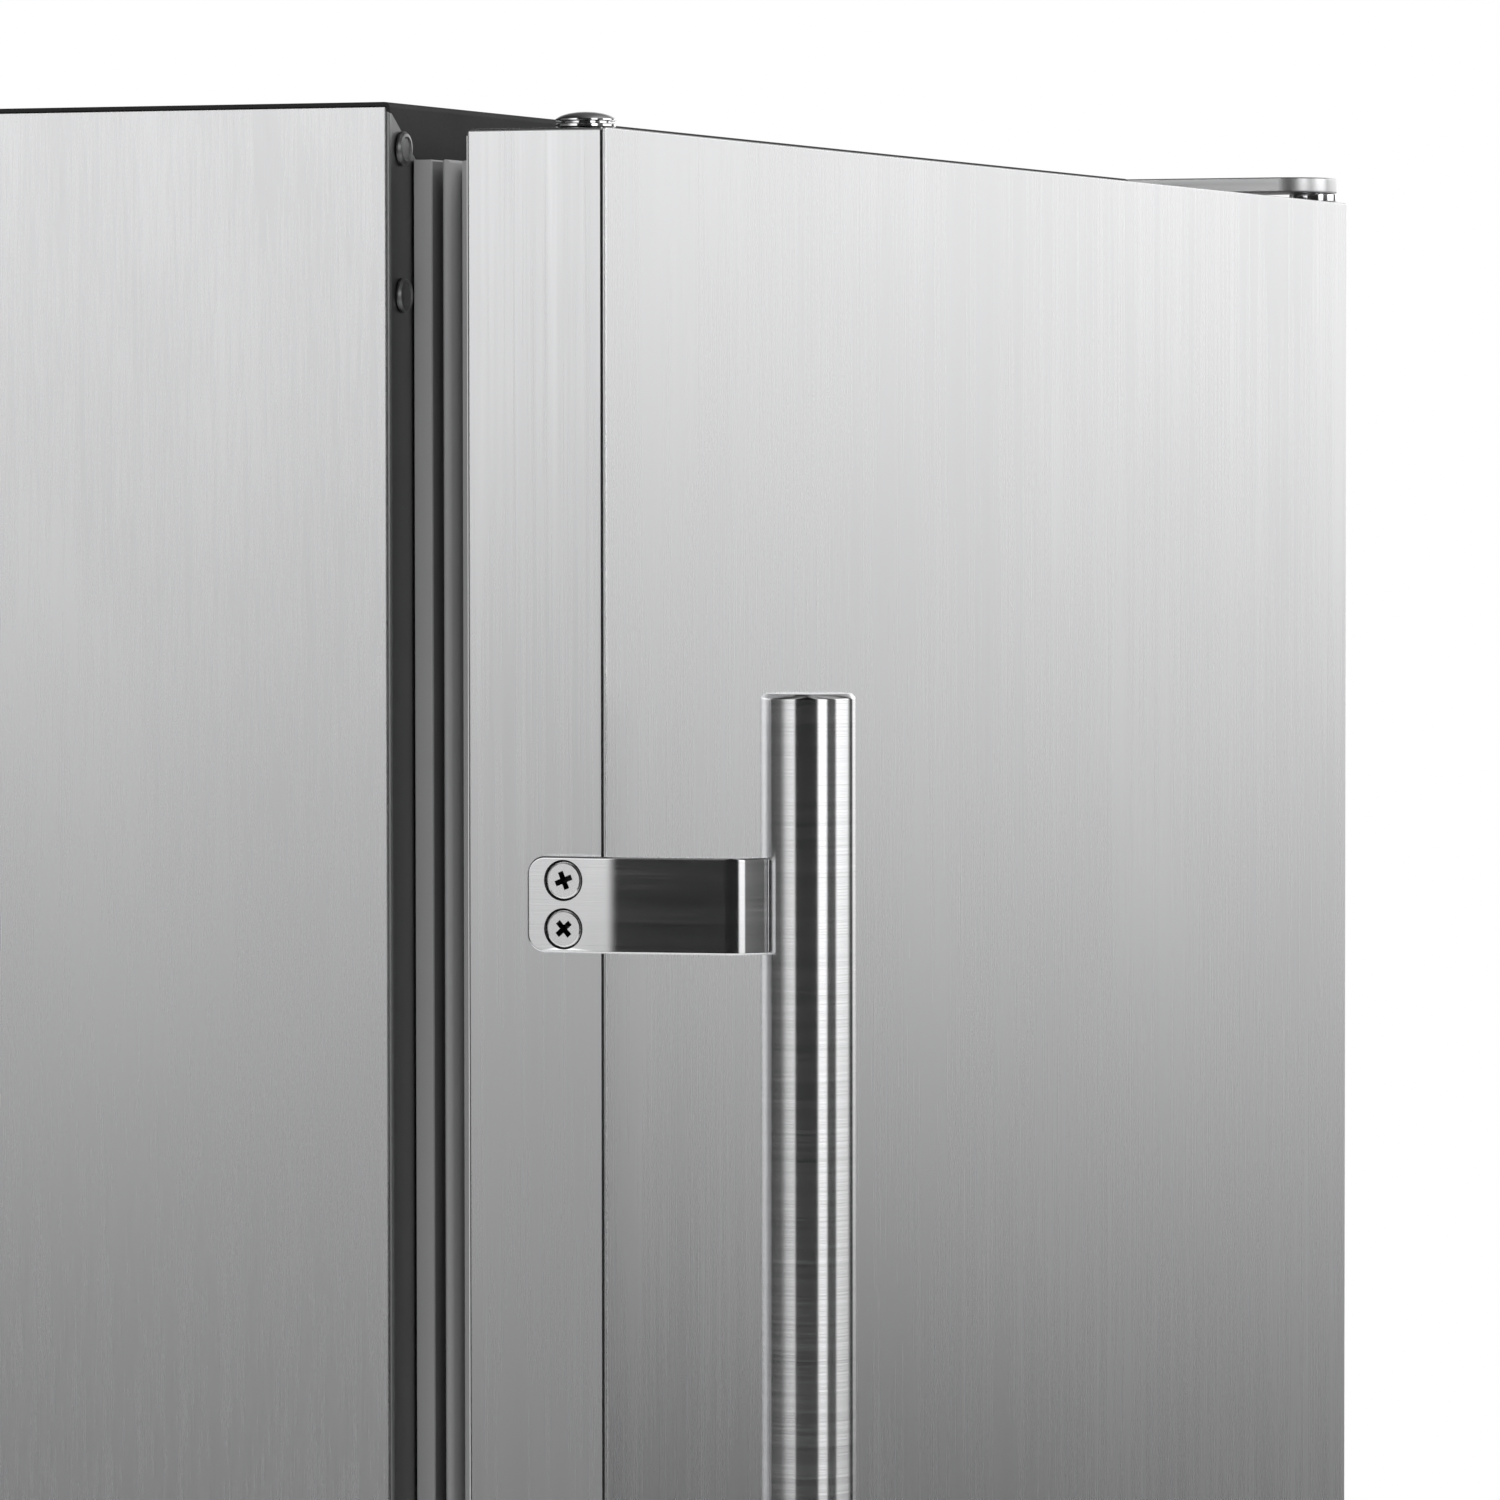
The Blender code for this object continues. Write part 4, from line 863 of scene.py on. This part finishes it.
def dial():
    """The ribbed thermostat dial with its pointer, and the tick marks round it."""
    low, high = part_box("thermostat_dial")
    centre = middle("thermostat_dial")
    radius = (high.x - low.x) / 2
    deep = high.y - low.y
    ribs = 30
    count = ribs * 4
    grip = 0.03
    bm = bmesh.new()
    rings = []
    levels = ((0.0, 1.0, False), (0.002, 1.0, True), (deep - 0.0015, 0.93, True), (deep, 0.85, False))
    for height, scale, ribbed in levels:
        ring = []
        for i in range(count):
            angle = math.tau * i / count
            reach = radius * scale
            if ribbed:
                reach *= 1 - grip * (0.5 - 0.5 * math.cos(angle * ribs))
            place = (centre.x + reach * math.cos(angle), high.y - height, centre.z + reach * math.sin(angle))
            ring.append(bm.verts.new(place))
        rings.append(ring)
    for here, there in zip(rings, rings[1:]):
        join_rings(bm, here, there)
    bm.faces.new(rings[0])
    bm.faces.new(rings[-1])
    show(bake(mesh_object("thermostat_dial_finish", bm)), "black_plastic", ["thermostat_dial"])
    pointer_low = (centre.x - 0.0007, low.y - 0.0001, centre.z + radius * 0.25)
    pointer_high = (centre.x + 0.0007, low.y + 0.0004, centre.z + radius * 0.8)
    pointer = bevel(block("dial_pointer", pointer_low, pointer_high), 0.0001)
    show(bake(pointer), "mark_white", beside="thermostat_dial")
    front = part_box("control_housing")[0].y
    ticks = 8
    bm = bmesh.new()
    for i in range(ticks):
        angle = math.radians(225 - 270 * i / (ticks - 1))
        long = 0.0026 if i in (0, ticks - 1) else 0.0018
        verts = bmesh.ops.create_cube(bm, size=1.0)["verts"]
        bmesh.ops.scale(bm, vec=(long, 0.0003, 0.0006), verts=verts)
        bmesh.ops.translate(bm, vec=(radius + 0.0024, 0, 0), verts=verts)
        bmesh.ops.rotate(bm, cent=(0, 0, 0), matrix=Matrix.Rotation(-angle, 3, "Y"), verts=verts)
        bmesh.ops.translate(bm, vec=(centre.x, front + 0.00005, centre.z), verts=verts)
    show(bake(mesh_object("dial_ticks", bm)), "mark_grey", beside="control_housing")


def fan(name, look, blades=5):
    """A moulded fan: a domed hub and swept, pitched blades."""
    low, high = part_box(name)
    centre = middle(name)
    radius = (high.x - low.x) / 2 * 0.98
    hub = radius * 0.26
    root = hub * 0.9
    deep = high.y - low.y
    around = 7
    along = 8
    bm = bmesh.new()
    for k in range(blades):
        rows = []
        for i in range(along + 1):
            out = i / along
            reach = root + (radius - root) * out
            sweep = 0.35 * out ** 1.5
            chord = math.radians(46) * (0.85 + 0.15 * out)
            row = []
            for j in range(around + 1):
                t = j / around - 0.5
                angle = math.tau * k / blades + sweep + chord * t
                lift = deep * 0.72 * t * (1.0 - 0.35 * out) + deep * 0.10 * (0.25 - t * t)
                x = centre.x + reach * math.cos(angle)
                row.append((x, centre.y + lift, centre.z + reach * math.sin(angle)))
            rows.append(row)
        ribbon(bm, rows)
    obj = solidify(mesh_object(name + "_blades", bm), 0.0012, 0)
    show(bake(obj), look, [name])
    profile = [(0, deep * 0.45), (hub * 0.6, deep * 0.43), (hub * 0.9, deep * 0.36), (hub, deep * 0.22)]
    profile += [(hub, -deep * 0.45), (0, -deep * 0.45)]
    show(turned(name + "_hub", profile, centre, "-Y", 48), look, beside=name)


def fins(name, coil, inset, pitch, rear):
    """Thin upright plates across the level tubes of a coil, standing past it by rear at the back."""
    low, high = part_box(coil)
    start = low.x + inset
    half_sheet = 0.00012
    bm = bmesh.new()
    count = int((high.x - inset - start) / pitch)
    for i in range(count + 1):
        x = start + i * pitch
        corner_low = (x - half_sheet, low.y - 0.002, low.z - 0.001)
        add_block(bm, corner_low, (x + half_sheet, high.y + rear, high.z + 0.001))
    show(bake(mesh_object(name, bm)), "fin_aluminium", beside=coil)


def machinery():
    rounded("condenser_coil", 0.0001, "black_paint", 1, 60)
    fins("condenser_fins", "condenser_coil", 0.017, 0.004, 0.002)
    rounded("evaporator_coil", 0.0001, "copper", 1, 60)
    fins("evaporator_fins", "evaporator_coil", 0.016, 0.005, 0.0035)
    fan("condenser_fan_blade", "black_plastic")
    fan("evaporator_fan_blade", "liner_white")
    compressor()


def compressor():
    """The welded pot: a dome, the seam's flange round its middle, and a foot drawn in."""
    low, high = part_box("compressor")
    centre = middle("compressor")
    radius = (high.x - low.x) / 2 - 0.004
    tall = high.z - low.z
    dome = 0.05
    crown = [(radius * math.sin(a), tall - dome + dome * math.cos(a)) for a in quarter_turn(15)]
    crown[0] = (0, tall)
    seam = [(0, 0.087), (0.0035, 0.0855), (0.004, 0.084), (0.004, 0.078), (0.0035, 0.0765), (0, 0.075)]
    foot = [(-0.002, 0.030), (-0.006, 0.016), (-0.014, 0.010), (-0.014, 0)]
    profile = crown + [(radius + out, height) for out, height in seam + foot] + [(0, 0)]
    pot = turned("compressor_finish", profile, (centre.x, centre.y, low.z), "Z", 96)
    show(pot, "black_paint", ["compressor"])


# Edge radius and look of each CAD solid whose shape is right but for its edges.
PLAIN = {
    "lower_front_rail": (0.0003, "panel_steel"),
    "toe_kick_grille": (0.0003, "panel_steel"),
    "bottom_panel": (0.0003, "zinc_steel"),
    "rear_panel": (0.0003, "zinc_steel"),
    "rear_access_grille": (0.0003, "zinc_steel"),
    "base_pan": (0.0003, "zinc_steel"),
    "base_rail_left": (0.0005, "zinc_steel"),
    "base_rail_right": (0.0005, "zinc_steel"),
    "condenser_fan_shroud": (0.0005, "zinc_steel"),
    "condenser_fan_motor": (0.0006, "zinc_steel"),
    "evaporator_fan_motor": (0.0006, "zinc_steel"),
    "condensate_tray": (0.0005, "black_plastic"),
    "power_inlet": (0.0005, "black_plastic"),
    "shelf_rail_left": (0.0006, "zinc_steel"),
    "shelf_rail_right": (0.0006, "zinc_steel"),
    "breaker_strip": (0.0004, "liner_white"),
    "evaporator_cover": (0.0005, "liner_white"),
    "foot_front_left": (0.0004, "black_plastic"),
    "foot_front_right": (0.0004, "black_plastic"),
    "foot_rear_left": (0.0004, "black_plastic"),
    "foot_rear_right": (0.0004, "black_plastic"),
}


def carried_over():
    """The insulation stays as the CAD solid, with foam's look."""
    for name in ("insulation_foam", "door_foam"):
        slots = NODES[name].data.materials
        slots.clear()
        slots.append(LOOKS["foam"])


# --- studio ------------------------------------------------------------------------------------

# Brightness that reflections see, by elevation and then by turn round the object, both in degrees. The range
# is that of the elevation's sine.
SKY_RANGE = (-0.30, 0.50)
SKY = [
    (-17.4, 0.30), (-13.5, 0.14), (-10.5, 0.02), (-7.3, 0.11), (-2.2, 0.49), (1.8, 0.81),
    (6, 1.06), (14, 1.05), (20, 0.5), (27, 0.22), (30, 0.20),
]
CARDS = [
    (-180, 1.7), (-165, 0.7), (-140, 0.14), (-85, 0.12), (-52, 0.22), (-44, 0.55), (-34, 1.3),
    (-24, 1.62), (-14, 1.7), (-10, 0.03), (42, 0.03), (46, 2.6), (65, 2.6), (68, 0.14),
    (89, 0.16), (94, 2.4), (130, 2.1), (143, 0.10), (154, 0.10), (159, 2.0),
]
WHITE = (1.0, 1.0, 1.0, 1.0)
SOFT_WHITE = (0.8, 0.8, 0.8, 1.0)
FLOOR_RADIUS = 2.0


def ramp_values(ramp, stops):
    """Sets a colour ramp to greys, from pairs of place and value."""
    while len(ramp.elements) > 1:
        ramp.elements.remove(ramp.elements[-1])
    ramp.elements[0].position = stops[0][0]
    ramp.elements[0].color = (stops[0][1],) * 3 + (1,)
    for place, value in stops[1:]:
        ramp.elements.new(place).color = (value,) * 3 + (1,)


def studio_world():
    """A white studio. Reflections see it fall off below the horizon, with dark cards round the camera."""
    world = bpy.data.worlds.new("studio")
    bpy.context.scene.world = world
    world.use_nodes = True
    tree = world.node_tree
    direction = node(tree, "TexCoord").outputs["Generated"]
    parts = node(tree, "SeparateXYZ", inputs={"Vector": direction})
    height = ranged(tree, parts.outputs["Z"], 0.0, 1.0, *SKY_RANGE)
    fall = node(tree, "ValToRGB", inputs={"Fac": height})
    low, high = SKY_RANGE
    ramp_values(fall.color_ramp, [((math.sin(math.radians(a)) - low) / (high - low), v) for a, v in SKY])
    back = node(tree, "VectorMath", {"operation": "SCALE"}, {0: direction, "Scale": -1.0}).outputs["Vector"]
    towards = node(tree, "SeparateXYZ", inputs={"Vector": back}).outputs
    turn = node(tree, "Math", {"operation": "ARCTAN2"}, {0: towards["Y"], 1: towards["X"]}).outputs[0]
    place = ranged(tree, turn, 0.0, 1.0, -math.pi, math.pi)
    cards = node(tree, "ValToRGB", inputs={"Fac": place})
    ramp_values(cards.color_ramp, [((a + 180) / 360, v) for a, v in CARDS])
    path = node(tree, "LightPath").outputs
    light = mixed(tree, 1.0, fall.outputs["Color"], cards.outputs["Color"], "MULTIPLY")
    light = mixed(tree, path["Is Diffuse Ray"], light, SOFT_WHITE)
    colour = mixed(tree, path["Is Camera Ray"], light, WHITE)
    background = tree.nodes["Background"]
    tree.links.new(colour, background.inputs["Color"])
    background.inputs["Strength"].default_value = 1.0


def mixed(tree, share, first, second, blend="MIX"):
    """The colour output of a Mix node, whose colour sockets are numbers 6 and 7."""
    settings = {"data_type": "RGBA", "blend_type": blend}
    return node(tree, "Mix", settings, {0: share, 6: first, 7: second}).outputs["Result"]


def studio():
    studio_world()
    bm = bmesh.new()
    bmesh.ops.create_circle(bm, cap_ends=True, segments=96, radius=FLOOR_RADIUS)
    floor = mesh_object("studio_floor", bm)
    look, tree, shader = blank_look("floor_paint", (0.86, 0.86, 0.86), 0.6)
    tinted(tree, shader, noise(tree, (3.0, 3.0, 3.0), 4.0), (0.84, 0.84, 0.84), (0.88, 0.88, 0.88))
    floor.data.materials.append(look)
    area_light("overhead", Vector((-0.8, -0.9, 3.2)), 38, 2.4)
    area_light("fill", Vector((1.8, -2.2, 2.2)), 18, 1.6)


def area_light(name, place, energy, size):
    """A soft light aimed at the middle of the cabinet, which reflections don't see."""
    data = bpy.data.lights.new(name, "AREA")
    data.energy = energy
    data.size = size
    lamp = bpy.data.objects.new(name, data)
    lamp.location = place
    lamp.visible_glossy = False
    lamp.rotation_euler = (Vector((0, 0, 0.5)) - place).to_track_quat("-Z", "Y").to_euler()
    bpy.context.scene.collection.objects.link(lamp)


def camera():
    """Close to the upper left front corner, a little above the handle and almost level."""
    data = bpy.data.cameras.new("camera")
    data.sensor_width = 36.0
    data.lens = 192.0
    data.clip_end = 50.0
    obj = bpy.data.objects.new("camera", data)
    bpy.context.scene.collection.objects.link(obj)
    yaw = math.radians(20.56)
    pitch = math.radians(-2.11)
    roll = math.radians(0.06)
    level = math.cos(pitch)
    forward = Vector((math.cos(yaw) * level, math.sin(yaw) * level, math.sin(pitch)))
    obj.location = (-1.9801, -0.9394, 0.7693)
    obj.rotation_mode = "QUATERNION"
    tilt = Matrix.Rotation(-roll, 3, "Z").to_quaternion()
    obj.rotation_quaternion = forward.to_track_quat("-Z", "Y") @ tilt
    bpy.context.scene.camera = obj


LOOKS = make_looks()
camera()
studio()
side_panel("side_panel_left", -1)
side_panel("side_panel_right", 1)
top_panel()
sunk_seat()
inner_liner()
gasket()
door_skins()
door_liner()
handle()
small_fittings()
for shelf in ("shelf_lower", "shelf_middle", "shelf_upper"):
    wire_shelf(shelf)
control_panel()
machinery()
for plain, (radius, finish) in PLAIN.items():
    rounded(plain, radius, finish)
carried_over()
bpy.context.scene.view_settings.view_transform = "Standard"
